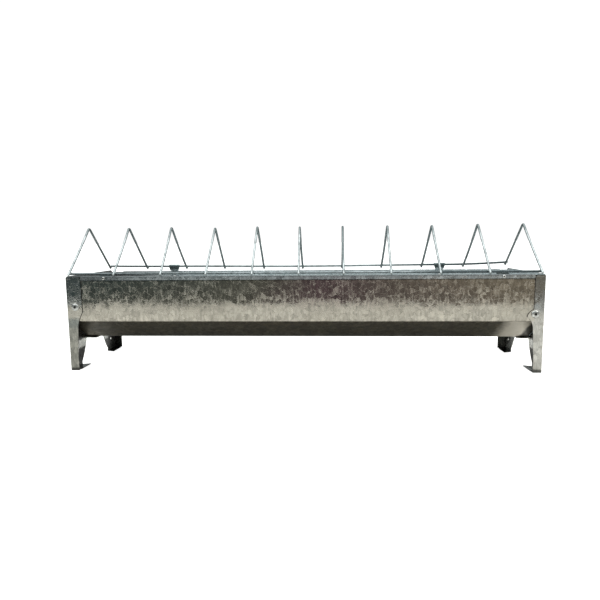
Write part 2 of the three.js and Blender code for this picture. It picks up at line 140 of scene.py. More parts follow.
@dataclass
class NodeBench:
    """Makes one material and builds its node tree.

    Args:
        name: Name of the material.
    """

    name: str

    def __post_init__(self) -> None:
        """Makes the material with a surface shader, its output and the object coordinates."""
        self.material = bpy.data.materials.new(self.name)
        self.material.use_nodes = True
        self.tree = self.material.node_tree
        self.tree.nodes.clear()
        self.output = self.add("ShaderNodeOutputMaterial")
        self.shader = self.add("ShaderNodeBsdfPrincipled")
        self.link(self.shader.outputs["BSDF"], self.output.inputs["Surface"])
        self.coordinates = self.add("ShaderNodeTexCoord").outputs["Object"]

    def add(self, kind: str) -> bpy.types.Node:
        """Adds one node of a kind."""
        return self.tree.nodes.new(kind)

    def link(self, source: bpy.types.NodeSocket, target: bpy.types.NodeSocket) -> None:
        """Joins an output to an input."""
        self.tree.links.new(source, target)

    def feed(self, socket: bpy.types.NodeSocket, value: object) -> None:
        """Sets an input from a number or colour, or links it to an output."""
        if isinstance(value, bpy.types.NodeSocket):
            self.link(value, socket)
        else:
            socket.default_value = value

    def math(self, operation: str, first: object, second: object) -> bpy.types.NodeSocket:
        """Works out one arithmetic step on two values.

        Args:
            operation: Name of the Math node's operation.
            first: A number or an output.
            second: A number or an output.

        Returns:
            The result.
        """
        node = self.add("ShaderNodeMath")
        node.operation = operation
        self.feed(node.inputs[0], first)
        self.feed(node.inputs[1], second)
        return node.outputs[0]

    def vector_math(self, operation: str, first: object, second: object) -> bpy.types.Node:
        """Works out one arithmetic step on two vectors and returns the node."""
        node = self.add("ShaderNodeVectorMath")
        node.operation = operation
        self.feed(node.inputs[0], first)
        self.feed(node.inputs[1], second)
        return node

    def stretched(
        self, vector: bpy.types.NodeSocket, scale: Sequence[float], turn: float = 0.0
    ) -> bpy.types.NodeSocket:
        """Turns coordinates about Y and scales them, for patterns that run one way.

        Args:
            vector: The coordinates.
            scale: Scale along each axis, after the turn.
            turn: Angle about Y in radians.

        Returns:
            The new coordinates.
        """
        node = self.add("ShaderNodeMapping")
        node.vector_type = "POINT"
        node.inputs["Rotation"].default_value = (0.0, turn, 0.0)
        node.inputs["Scale"].default_value = tuple(scale)
        self.link(vector, node.inputs["Vector"])
        return node.outputs["Vector"]

    def noise(
        self,
        vector: bpy.types.NodeSocket,
        size: float,
        detail: float = 3.0,
        roughness: float = 0.55,
    ) -> bpy.types.Node:
        """Adds a noise texture whose features are about one size across.

        Args:
            vector: Coordinates in metres.
            size: Feature size in metres.
            detail: Octaves of finer noise.
            roughness: Weight of the finer octaves.

        Returns:
            The noise node.
        """
        node = self.add("ShaderNodeTexNoise")
        node.inputs["Scale"].default_value = 1.0 / size
        node.inputs["Detail"].default_value = detail
        node.inputs["Roughness"].default_value = roughness
        self.link(vector, node.inputs["Vector"])
        return node

    def cells(self, vector: bpy.types.NodeSocket, size: float) -> bpy.types.Node:
        """Adds a Voronoi texture whose cells are about one size across."""
        node = self.add("ShaderNodeTexVoronoi")
        node.inputs["Scale"].default_value = 1.0 / size
        self.link(vector, node.inputs["Vector"])
        return node

    def ramp(
        self, factor: bpy.types.NodeSocket, stops: Sequence[tuple[float, Colour]]
    ) -> bpy.types.NodeSocket:
        """Maps a value to colours.

        Args:
            factor: The value, 0 to 1.
            stops: Position and colour of each stop.

        Returns:
            The colour.
        """
        node = self.add("ShaderNodeValToRGB")
        fill_ramp(node, stops)
        self.link(factor, node.inputs["Fac"])
        return node.outputs["Color"]

    def band(
        self, value: object, low: float, high: float, to_low: float = 0.0, to_high: float = 1.0
    ) -> bpy.types.NodeSocket:
        """Maps a range of a value to another range, held at its ends.

        Args:
            value: The value.
            low: Where the range starts.
            high: Where it ends.
            to_low: Result at the start.
            to_high: Result at the end.

        Returns:
            The mapped value.
        """
        node = self.add("ShaderNodeMapRange")
        self.feed(node.inputs["Value"], value)
        node.inputs["From Min"].default_value = low
        node.inputs["From Max"].default_value = high
        node.inputs["To Min"].default_value = to_low
        node.inputs["To Max"].default_value = to_high
        return node.outputs["Result"]

    def mix(self, factor: object, first: object, second: object) -> bpy.types.NodeSocket:
        """Mixes two colours.

        Args:
            factor: Share of the second colour.
            first: A colour or an output.
            second: A colour or an output.

        Returns:
            The mixed colour.
        """
        node = self.add("ShaderNodeMix")
        node.data_type = "RGBA"
        self.feed(node.inputs["Factor"], factor)
        for socket, value in ((node.inputs[6], first), (node.inputs[7], second)):
            self.feed(socket, (*value, 1.0) if isinstance(value, tuple) else value)
        return node.outputs[2]

    def bump(
        self, height: bpy.types.NodeSocket, depth: float, normal: bpy.types.NodeSocket | None = None
    ) -> bpy.types.NodeSocket:
        """Turns a height into a surface normal.

        Args:
            height: The height, 0 to 1.
            depth: Metres that a height of 1 stands up.
            normal: A normal to build on, if any.

        Returns:
            The normal.
        """
        node = self.add("ShaderNodeBump")
        node.inputs["Strength"].default_value = 1.0
        node.inputs["Distance"].default_value = depth
        self.link(height, node.inputs["Height"])
        if normal is not None:
            self.link(normal, node.inputs["Normal"])
        return node.outputs["Normal"]

    def ragged_places(self, size: float, reach: float) -> dict[str, bpy.types.NodeSocket]:
        """Object coordinates along each axis, pulled about so that a border along them is ragged.

        Args:
            size: Size of the raggedness along a border.
            reach: How far a border wanders.

        Returns:
            The place along each axis, by its letter.
        """
        split = self.add("ShaderNodeSeparateXYZ")
        self.link(self.coordinates, split.inputs["Vector"])
        wander = self.noise(self.coordinates, size, 4.0, 0.65).outputs["Fac"]
        offset = self.band(wander, 0.3, 0.7, -reach, reach)
        return {axis: self.math("ADD", split.outputs[axis], offset) for axis in "XYZ"}

    def dress(
        self,
        colour: bpy.types.NodeSocket,
        roughness: bpy.types.NodeSocket,
        relief: Sequence[tuple[bpy.types.NodeSocket, float]],
        metal: float = 1.0,
    ) -> bpy.types.Material:
        """Feeds the surface shader.

        Args:
            colour: Base colour.
            roughness: Roughness.
            relief: Height, and metres that a height of 1 stands up, of each level, coarse first.
            metal: Share of bare metal.

        Returns:
            The finished material.
        """
        self.feed(self.shader.inputs["Base Color"], colour)
        self.shader.inputs["Metallic"].default_value = metal
        self.feed(self.shader.inputs["Roughness"], roughness)
        normal = None
        for height, depth in relief:
            normal = self.bump(height, depth, normal)
        self.feed(self.shader.inputs["Normal"], normal)
        return self.material


# ---------------------------------------------------------------- finishes


@dataclass(frozen=True)
class Mark:
    """A change of tone painted over one stretch of the part, with a ragged soft border; the finishes use it
    mostly for painted shade and painted reflections.

    Args:
        axis: Axis that the stretch is measured along: X, Y or Z.
        start: Where the mark starts to show.
        full: Where it is at its full strength.
        tone: Colour of the mark.
        strength: Its greatest share of the colour.
        ragged: How far the border wanders.
    """

    axis: str
    start: float
    full: float
    tone: Colour
    strength: float = 0.9
    ragged: float = 2.0 * MM

    def lay(self, bench: NodeBench, colour: bpy.types.NodeSocket) -> bpy.types.NodeSocket:
        """Lays the mark over a colour.

        Args:
            bench: The material's bench.
            colour: The colour under the mark.

        Returns:
            The marked colour.
        """
        place = bench.ragged_places(5.0 * MM, self.ragged)[self.axis]
        share = bench.band(place, self.start, self.full, 0.0, self.strength)
        return bench.mix(share, colour, self.tone)


@dataclass(frozen=True)
class Patch:
    """A change of tone painted inside a box of space, with a ragged soft border; the finishes use it mostly
    for painted shade and painted reflections.

    Args:
        low: Lowest corner of the box. None leaves that side open.
        high: Highest corner of the box. None leaves that side open.
        tone: Colour of the patch.
        strength: Its greatest share of the colour.
        soft: Half the width of the soft border.
        ragged: How far the border wanders.
    """

    low: Corner
    high: Corner
    tone: Colour
    strength: float = 0.9
    soft: float = 0.8 * MM
    ragged: float = 1.0 * MM

    def lay(self, bench: NodeBench, colour: bpy.types.NodeSocket) -> bpy.types.NodeSocket:
        """Lays the patch over a colour.

        Args:
            bench: The material's bench.
            colour: The colour under the patch.

        Returns:
            The patched colour.
        """
        places = bench.ragged_places(4.0 * MM, self.ragged)
        share = self.strength
        for place, low, high in zip(places.values(), self.low, self.high):
            if low is not None:
                share = bench.math("MULTIPLY", bench.band(place, low - self.soft, low + self.soft), share)
            if high is not None:
                share = bench.math("MULTIPLY", bench.band(place, high + self.soft, high - self.soft), share)
        return bench.mix(share, colour, self.tone)


@dataclass(frozen=True)
class SpangledZinc:
    """Hot-dip zinc on sheet: feathery crystals that tilt and shade each on its own, with stains.

    Args:
        name: Name of the material.
        dark: Tone of the darkest crystals.
        light: Tone of the lightest crystals.
        grain: Size of a crystal.
        tilt: Slope of a crystal's face against the sheet.
        stain: Colour that patches lean towards.
        stain_share: Greatest share of that colour.
        stain_size: Size of a patch.
        smooth: Roughness of the brightest crystals.
        dull: Roughness of the dullest ones.
        grit: Height of the fine frosting.
        metal: Share of bare metal against a pale diffuse film; the low shares of the inside and the plate
            backs paint them paler, as painted reflection and painted light.
        frost: Extra roughness of the palest feathers inside the crystals.
        marks: Places where the sheet is painted darker or lighter, mostly painted shade and painted
            reflections.
    """

    name: str
    dark: Colour = (0.33, 0.32, 0.29)
    light: Colour = (0.62, 0.60, 0.55)
    grain: float = 4.6 * MM
    tilt: float = 0.016
    stain: Colour = (0.30, 0.26, 0.20)
    stain_share: float = 0.35
    stain_size: float = 55.0 * MM
    smooth: float = 0.07
    dull: float = 0.14
    grit: float = 0.003 * MM
    metal: float = 1.0
    frost: float = 0.0
    marks: tuple[Mark | Patch, ...] = ()

    def material(self) -> bpy.types.Material:
        """Builds the material.

        Returns:
            The finished material.
        """
        bench = NodeBench(self.name)
        warped = self._warped(bench)
        crystals = bench.cells(warped, self.grain)
        feather = self._feather(bench, crystals.outputs["Color"])
        split = bench.add("ShaderNodeSeparateColor")
        bench.link(crystals.outputs["Color"], split.inputs["Color"])
        feather_share, crystal_share, middle = 0.55, 0.45, 0.40
        shade = bench.math("ADD", bench.math("MULTIPLY", feather, feather_share),
                           bench.math("MULTIPLY", split.outputs["Red"], crystal_share))
        colour = bench.ramp(shade, ((0.12, self.dark), (0.5, self._between(middle)), (0.86, self.light)))
        patch = bench.noise(bench.coordinates, self.stain_size, 5.0).outputs["Fac"]
        share = bench.band(patch, 0.42, 0.68, 0.0, self.stain_share)
        colour = bench.mix(share, colour, self.stain)
        for mark in self.marks:
            colour = mark.lay(bench, colour)
        fine = bench.noise(bench.coordinates, 1.1 * MM, 4.0).outputs["Fac"]
        stain_dulls, grit_dulls = 0.04, 0.03
        rough = bench.math("ADD", bench.band(split.outputs["Green"], 0.0, 1.0, self.smooth, self.dull),
                           bench.band(share, 0.0, self.stain_share, 0.0, stain_dulls))
        rough = bench.math("ADD", rough, bench.band(fine, 0.35, 0.75, 0.0, grit_dulls))
        rough = bench.math("ADD", rough, bench.band(shade, 0.45, 0.95, 0.0, self.frost))
        faces = self._crystal_faces(bench, crystals, warped)
        return bench.dress(colour, rough, ((faces, self.tilt), (fine, self.grit)), self.metal)

    def _between(self, share: float) -> Colour:
        """A tone part of the way from dark to light."""
        return tuple(a + share * (b - a) for a, b in zip(self.dark, self.light))

    def _warped(self, bench: NodeBench) -> bpy.types.NodeSocket:
        """Object coordinates pulled about a little, so that crystals get ragged edges."""
        wobble = bench.noise(bench.coordinates, 0.8 * self.grain, 3.0, 0.7).outputs["Color"]
        centred = bench.vector_math("SUBTRACT", wobble, (0.5, 0.5, 0.5)).outputs["Vector"]
        scaled = bench.vector_math("SCALE", centred, (0.0, 0.0, 0.0))
        scaled.inputs["Scale"].default_value = 1.1 * self.grain
        return bench.vector_math("ADD", bench.coordinates, scaled.outputs["Vector"]).outputs["Vector"]

    def _feather(self, bench: NodeBench, tint: bpy.types.NodeSocket) -> bpy.types.NodeSocket:
        """Streaks inside the crystals, which run one of three ways from crystal to crystal."""
        across, along_streak = 1.0, 0.22
        headings = (0.35, 1.35, 2.4)
        runs = [
            bench.noise(
                bench.stretched(bench.coordinates, (across, 1.0, along_streak), turn), 0.45 * self.grain, 3.0
            ).outputs["Fac"]
            for turn in headings
        ]
        split = bench.add("ShaderNodeSeparateColor")
        bench.link(tint, split.inputs["Color"])
        one_third, two_thirds = 0.36, 0.68
        first = bench.math("GREATER_THAN", split.outputs["Blue"], one_third)
        second = bench.math("GREATER_THAN", split.outputs["Blue"], two_thirds)
        mixed = bench.mix(first, runs[0], runs[1])
        mixed = bench.mix(second, mixed, runs[2])
        return bench.band(mixed, 0.32, 0.68)

    def _crystal_faces(
        self, bench: NodeBench, crystals: bpy.types.Node, warped: bpy.types.NodeSocket
    ) -> bpy.types.NodeSocket:
        """Height of flat crystal faces, each of which leans its own way."""
        lean = bench.vector_math("SUBTRACT", crystals.outputs["Color"], (0.5, 0.5, 0.5)).outputs["Vector"]
        offset = bench.vector_math("SUBTRACT", warped, crystals.outputs["Position"]).outputs["Vector"]
        return bench.vector_math("DOT_PRODUCT", lean, offset).outputs["Value"]


@dataclass(frozen=True)
class DrawnWire:
    """Zinc on drawn wire: bright, with frosting, small runs and dull patches.

    Args:
        name: Name of the material.
        bright: Tone of clean zinc.
        dull: Tone of weathered zinc.
        smooth: Roughness of clean zinc.
        rough: Roughness of weathered zinc.
        marks: Places where the wire is painted darker, mostly painted shade.
    """

    name: str
    bright: Colour = (0.74, 0.77, 0.77)
    dull: Colour = (0.36, 0.39, 0.39)
    smooth: float = 0.22
    rough: float = 0.42
    marks: tuple[Mark | Patch, ...] = ()

    def material(self) -> bpy.types.Material:
        """Builds the material.

        Returns:
            The finished material.
        """
        bench = NodeBench(self.name)
        patch = bench.noise(bench.coordinates, 6.0 * MM, 4.0).outputs["Fac"]
        frost = bench.noise(bench.coordinates, 0.6 * MM, 3.0).outputs["Fac"]
        blend = bench.math("ADD", bench.band(patch, 0.38, 0.66, 0.0, 0.75),
                           bench.band(frost, 0.4, 0.7, 0.0, 0.25))
        colour = bench.mix(blend, self.bright, self.dull)
        for mark in self.marks:
            colour = mark.lay(bench, colour)
        roughness = bench.band(blend, 0.0, 1.0, self.smooth, self.rough)
        return bench.dress(colour, roughness, ((patch, 0.08 * MM), (frost, 0.02 * MM)))


@dataclass(frozen=True)
class DullSteel:
    """Small pressed parts in dull zinc: clips, rests and rivets, with rubbed and dirty places.

    Args:
        name: Name of the material.
        tone: Main tone.
        dirt: Tone of dirty places.
        rubbed: Tone of rubbed places.
        roughness: Middle roughness.
        spot_size: Size of the dirty and rubbed places.
        marks: Places where the part is painted darker or lighter, such as a painted highlight.
    """

    name: str
    tone: Colour
    dirt: Colour
    rubbed: Colour
    roughness: float = 0.36
    spot_size: float = 2.2 * MM
    marks: tuple[Mark | Patch, ...] = ()

    def material(self) -> bpy.types.Material:
        """Builds the material.

        Returns:
            The finished material.
        """
        bench = NodeBench(self.name)
        spots = bench.noise(bench.coordinates, self.spot_size, 5.0, 0.65).outputs["Fac"]
        fine = bench.noise(bench.coordinates, 0.25 * self.spot_size, 3.0).outputs["Fac"]
        colour = bench.ramp(spots, ((0.34, self.dirt), (0.5, self.tone), (0.68, self.rubbed)))
        for mark in self.marks:
            colour = mark.lay(bench, colour)
        spread = 0.12
        roughness = bench.band(spots, 0.3, 0.7, self.roughness + spread, self.roughness - spread)
        return bench.dress(colour, roughness, ((spots, 0.05 * MM), (fine, 0.02 * MM)))


@dataclass(frozen=True)
class FinishSet:
    """Every finish of the feeder.

    Args:
        outside: Walls of the trough, as the birds see them, with a painted shadow line under the front hem.
        inside: Inside of the trough, painted pale with a low share of metal as a painted reflection of the
            bright sky, and darker towards the left end.
        hems: Folded edges of the walls, with painted shade towards the left end and along the top of the
            front hem's fold.
        underside: Sloping sides and bottom, painted near black as painted shade for the shaded floor that
            they mirror, with a painted reflection near the right end and painted shade beside the right
            plate.
        left_plate: Outer faces of the left end plate, painted darker than the right plate as painted shade,
            with painted reflection bands on the front flange and painted shade at the foot.
        right_plate: Outer faces of the right end plate, painted lighter than the left plate as painted light,
            with painted reflection bands on the front flange and painted shade at the foot.
        plate_backs: Backs of the legs and flanges, under the trough, painted in bands and patches of painted
            shade and painted light.
        wire: Hoops and welds, with painted shade on the rear legs, over the tops and on one front leg.
        rails: The two long rails, a darker copy of the hoops' zinc as painted shade, and darker again towards
            both ends.
        clips: Hinge clips and rests, toned dark as painted shade, and painted light below 101.2 mm as a
            painted highlight.
        rivets: All rivets.
        stems: Broken stems, down in the rivets' heads, and the well round each, painted near black as painted
            shade in the hole.
    """

    outside: SpangledZinc = SpangledZinc(
        "zinc_trough_outside", dark=(0.31, 0.29, 0.25), light=(0.68, 0.63, 0.54),
        stain=(0.36, 0.33, 0.27),
        tilt=0.008, smooth=0.035, dull=0.07, grit=0.0016 * MM, frost=0.13,
        # Painted shadow: the outside of the wall is painted dark from 97.7 mm up, in the thin strip just
        # under the front hem.
        marks=(Mark("Z", 96.9 * MM, 97.7 * MM, SHADOW, 0.85, 0.25 * MM),))
    # Painted reflection: the inside is painted pale, with a low share of metal, to stand in for the bright
    # sky that it mirrors; its mark makes it darker from x = -183 mm towards the left end.
    inside: SpangledZinc = SpangledZinc("zinc_trough_inside", dark=(0.60, 0.65, 0.655),
                                        light=(0.86, 0.90, 0.905), stain=(0.55, 0.58, 0.57),
                                        stain_share=0.2, smooth=0.24, dull=0.34, metal=0.62,
                                        marks=(Mark("X", -183.0 * MM, -215.0 * MM,
                                                    (0.20, 0.205, 0.20), 0.88),))
    hems: SpangledZinc = SpangledZinc(
        "zinc_hems_painted_shade", dark=(0.36, 0.39, 0.40), light=(0.74, 0.78, 0.79), stain=(0.30, 0.32, 0.33),
        smooth=0.2, dull=0.3,
        # Painted shade: the hems are painted dark from x = -175 mm towards the left end, and along the top of
        # the front hem's fold above 101.8 mm, where the front rail shades it.
        marks=(Mark("X", -175.0 * MM, -215.0 * MM, (0.17, 0.18, 0.18), 0.75),
               Mark("Z", 101.2 * MM, 101.8 * MM, (0.11, 0.12, 0.12), 0.85, 0.15 * MM)))
    # Painted shade: the underside is painted near black for the shaded floor under the trough; from x = 208
    # mm it is painted light as a painted reflection, and past 238 mm dark again as painted shade beside the
    # right plate.
    underside: SpangledZinc = SpangledZinc(
        "zinc_trough_underside", dark=(0.058, 0.048, 0.031), light=(0.16, 0.136, 0.093),
        stain=(0.05, 0.04, 0.03), smooth=0.30, dull=0.42,
        marks=(Mark("X", 208.0 * MM, 220.0 * MM, (0.86, 0.79, 0.68), 0.92, 1.5 * MM),
               Mark("X", 238.0 * MM, 241.0 * MM, (0.05, 0.045, 0.035), 0.95, 1.0 * MM)))
    # Painted shade and painted reflections: this copy of the plate zinc is painted darker for the shaded left
    # end; the front flange patches paint in the wall's reflection bands, light from 57 mm, grey from 71 mm
    # and dark between 47 and 57 mm, and the bottom 4 mm is painted shade.
    left_plate: SpangledZinc = SpangledZinc(
        "zinc_left_plate_painted_shade", dark=(0.20, 0.20, 0.18), light=(0.46, 0.45, 0.395), stain=(0.20, 0.19, 0.165),
        smooth=0.05, dull=0.1,
        marks=(Patch((None, None, 57.0 * MM), FRONT_FLANGE, (0.52, 0.485, 0.42), 0.9, 1.5 * MM),
               Patch((None, None, 71.0 * MM), FRONT_FLANGE, (0.42, 0.43, 0.42), 0.8, 1.5 * MM),
               Patch((None, None, 47.0 * MM), (None, -59.0 * MM, 57.0 * MM), (0.13, 0.16, 0.165), 0.65,
                     3.0 * MM, 2.5 * MM),
               Mark("Z", 4.0 * MM, 2.4 * MM, SHADOW, 0.85, 0.6 * MM)))
    # Painted light and painted reflections: this copy of the plate zinc is painted lighter for the lit right
    # end; the front flange is painted darker from 64 mm and lighter between 54 and 67 mm as painted
    # reflection bands, and the bottom 4 mm is painted shade.
    right_plate: SpangledZinc = SpangledZinc(
        "zinc_right_plate_painted_light", dark=(0.37, 0.36, 0.33), light=(0.68, 0.66, 0.61), stain=(0.38, 0.36, 0.33),
        smooth=0.05, dull=0.1,
        marks=(Patch((None, None, 64.0 * MM), FRONT_FLANGE, (0.29, 0.315, 0.325), 0.85,
                     4.0 * MM, 2.0 * MM),
               Patch((None, None, 54.0 * MM), (240.4 * MM, -59.0 * MM, 67.0 * MM),
                     (0.52, 0.485, 0.42), 0.85, 0.5 * MM),
               Mark("Z", 4.0 * MM, 2.4 * MM, (0.06, 0.06, 0.055), 0.85, 0.6 * MM)))
    # Painted shade and painted light: the backs are painted dark above 29.5 mm under the trough and below 19
    # mm, with painted light patches on the front legs from 20.5 to 29 mm and on the left rear leg, and
    # painted shade on both rear legs.
    plate_backs: SpangledZinc = SpangledZinc(
        "zinc_plate_backs", dark=(0.44, 0.43, 0.40), light=(0.68, 0.67, 0.62), stain=(0.36, 0.35, 0.32),
        smooth=0.2, dull=0.3, metal=0.7,
        marks=(Mark("Z", 27.0 * MM, 29.5 * MM, (0.035, 0.033, 0.028), 0.95, 1.0 * MM),
               Mark("Z", 21.5 * MM, 19.0 * MM, (0.05, 0.047, 0.045), 0.94, 1.2 * MM),
               Patch((None, None, 20.5 * MM), (None, 0.0, 29.0 * MM), (0.84, 0.83, 0.79), 0.85, 1.0 * MM),
               Patch((None, 36.5 * MM, None), (0.0, None, None), SHADOW, 0.85, 1.0 * MM),
               Patch((None, 24.0 * MM, 17.0 * MM), (0.0, 36.5 * MM, None), (0.80, 0.80, 0.77), 0.9, 1.0 * MM),
               Patch((0.0, 20.0 * MM, None), OPEN, (0.06, 0.06, 0.05), 0.7, 1.0 * MM)))
    # Painted shade: the hoops are painted dark on their rear legs behind y = 4 mm, over their tops from 142
    # mm up, and on the front leg of the hoop near x = 48 mm, where the shaded rear leg shows beside it.
    wire: DrawnWire = DrawnWire(
        "zinc_hoops_painted_shade", bright=(0.56, 0.60, 0.60), dull=(0.27, 0.30, 0.30),
        marks=(Mark("Y", -1.0 * MM, 4.0 * MM, (0.125, 0.15, 0.15), 0.82, 1.0 * MM),
               Mark("Z", 142.0 * MM, 149.0 * MM, (0.13, 0.16, 0.16), 0.75, 2.0 * MM),
               Patch((42.0 * MM, None, 117.0 * MM), (54.0 * MM, None, None), (0.12, 0.15, 0.15), 0.75,
                     3.0 * MM)))
    # The rails take a darker copy of the hoops' zinc as painted shade, and are also darker from x = -60 mm
    # towards the left end and from x = 110 mm towards the right end.
    rails: DrawnWire = DrawnWire(
        "zinc_rails_painted_shade", bright=(0.40, 0.44, 0.45), dull=(0.17, 0.20, 0.20),
        marks=(Mark("X", -60.0 * MM, -130.0 * MM, (0.12, 0.14, 0.14), 0.5),
               Mark("X", 110.0 * MM, 150.0 * MM, (0.06, 0.08, 0.085), 0.85)))
    # Painted shade and painted highlight: the clips and rests are toned near black for their shaded inner
    # faces, and painted light below 101.2 mm as a painted highlight.
    clips: DullSteel = DullSteel("zinc_clips_painted_light_and_shade", tone=(0.12, 0.155, 0.155), dirt=(0.06, 0.075, 0.075),
                                 rubbed=(0.28, 0.32, 0.32),
                                 marks=(Mark("Z", 101.9 * MM, 101.2 * MM, (0.62, 0.67, 0.68), 0.85,
                                             0.2 * MM),))
    rivets: DullSteel = DullSteel("rivet_steel", tone=(0.60, 0.60, 0.57), dirt=(0.25, 0.25, 0.23),
                                  rubbed=(0.82, 0.82, 0.79), roughness=0.26)
    # Painted shade: the stems and the wells round them are painted near black for the shade down in each
    # rivet's hole.
    stems: DullSteel = DullSteel("rivet_stems_painted_shade", tone=(0.055, 0.055, 0.05), dirt=(0.02, 0.02, 0.018),
                                 rubbed=(0.16, 0.16, 0.15), roughness=0.45, spot_size=1.2 * MM)


# ---------------------------------------------------------------- mesh helpers


def edges_of(bm: bmesh.types.BMesh, test: Callable[[bmesh.types.BMEdge], bool]) -> list[bmesh.types.BMEdge]:
    """Every edge that passes a test."""
    return [edge for edge in bm.edges if test(edge)]


def along(edge: bmesh.types.BMEdge, axis: int) -> bool:
    """Whether an edge runs along one axis."""
    span = edge.verts[1].co - edge.verts[0].co
    return abs(span[axis]) > PARALLEL * span.length


def sharp_edges(bm: bmesh.types.BMesh) -> list[bmesh.types.BMEdge]:
    """Every edge where two faces meet at a sharp angle."""
    return edges_of(bm, lambda e: e.is_manifold and e.calc_face_angle(0.0) > SHARP_ANGLE)


def round_edges(
    bm: bmesh.types.BMesh, edges: Iterable[bmesh.types.BMEdge], radius: float, segments: int
) -> None:
    """Rounds edges.

    Args:
        bm: The mesh.
        edges: The edges to round.
        radius: Setback of the round from the edge.
        segments: Facets across the round.
    """
    bmesh.ops.bevel(bm, geom=list(edges), offset=radius, offset_type="OFFSET", segments=segments,
                    profile=0.5, affect="EDGES", clamp_overlap=True, material=-1)


def sweep(bm: bmesh.types.BMesh, path: Sequence[Vector], radius: float, facets: int) -> None:
    """Runs a round section along a path, by extruding its end face from point to point.

    Args:
        bm: The mesh that the wire is added to.
        path: Points of the centre line.
        radius: Radius of the wire.
        facets: Facets round the wire.
    """
    heading = (path[1] - path[0]).normalized()
    placing = Matrix.Translation(path[0]) @ heading.to_track_quat("Z", "Y").to_matrix().to_4x4()
    start = bmesh.ops.create_circle(bm, cap_ends=True, segments=facets, radius=radius, matrix=placing)
    end_face = start["verts"][0].link_faces[0]
    for index in range(1, len(path)):
        ahead = path[min(index + 1, len(path) - 1)] - path[index - 1]
        new_heading = ahead.normalized()
        turn = heading.rotation_difference(new_heading).to_matrix()
        grown = bmesh.ops.extrude_face_region(bm, geom=[end_face])["geom"]
        if index > 1:
            bmesh.ops.delete(bm, geom=[end_face], context="FACES_ONLY")
        ring = [item for item in grown if isinstance(item, bmesh.types.BMVert)]
        end_face = next(item for item in grown if isinstance(item, bmesh.types.BMFace))
        bmesh.ops.translate(bm, verts=ring, vec=path[index] - path[index - 1])
        bmesh.ops.rotate(bm, verts=ring, cent=path[index], matrix=turn)
        heading = new_heading
    bmesh.ops.recalc_face_normals(bm, faces=bm.faces)


@dataclass
class Piece:
    """One finished piece: its name, body, slot and the nodes that it stands for.

    Args:
        name: Name of the object.
        body: Body that it moves with.
        slot: Material slot of the record. Not used.
        stands_for: CAD nodes that it replaces.
    """

    name: str
    body: Body
    slot: Slot
    stands_for: Sequence[str] = ()

    def finish(
        self,
        bm: bmesh.types.BMesh,
        materials: Sequence[bpy.types.Material],
        smooth_angle: float = SMOOTH_ANGLE,
    ) -> bpy.types.Object:
        """Turns a bmesh into an object that rides on its body.

        Args:
            bm: The mesh, which is freed.
            materials: Materials in the order of the faces' indices.
            smooth_angle: Edges sharper than this stay sharp.

        Returns:
            The object.
        """
        mesh = bpy.data.meshes.new(self.name)
        for face in bm.faces:
            face.smooth = True
        bm.to_mesh(mesh)
        bm.free()
        mesh.set_sharp_from_angle(angle=smooth_angle)
        for material in materials:
            mesh.materials.append(material)
        piece = bpy.data.objects.new(self.name, mesh)
        bpy.context.scene.collection.objects.link(piece)
        weighted = piece.modifiers.new("even_flats", "WEIGHTED_NORMAL")
        weighted.keep_sharp = True
        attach(piece, self.body.value)
        if self.stands_for:
            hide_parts(*self.stands_for)
        LOG.info("%s: %d faces", self.name, len(mesh.polygons))
        return piece


def copy_of_node(node: str) -> bmesh.types.BMesh:
    """A merged copy of a CAD node's mesh, with its flat faces joined up.

    Args:
        node: Name of the node.

    Returns:
        The copy.
    """
    bm = bmesh.new()
    bm.from_mesh(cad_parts[node].data)
    bmesh.ops.remove_doubles(bm, verts=bm.verts, dist=MERGE_DISTANCE)
    bmesh.ops.dissolve_limit(bm, angle_limit=math.radians(0.5), verts=bm.verts, edges=bm.edges)
    bmesh.ops.recalc_face_normals(bm, faces=bm.faces)
    return bm


# ---------------------------------------------------------------- trough


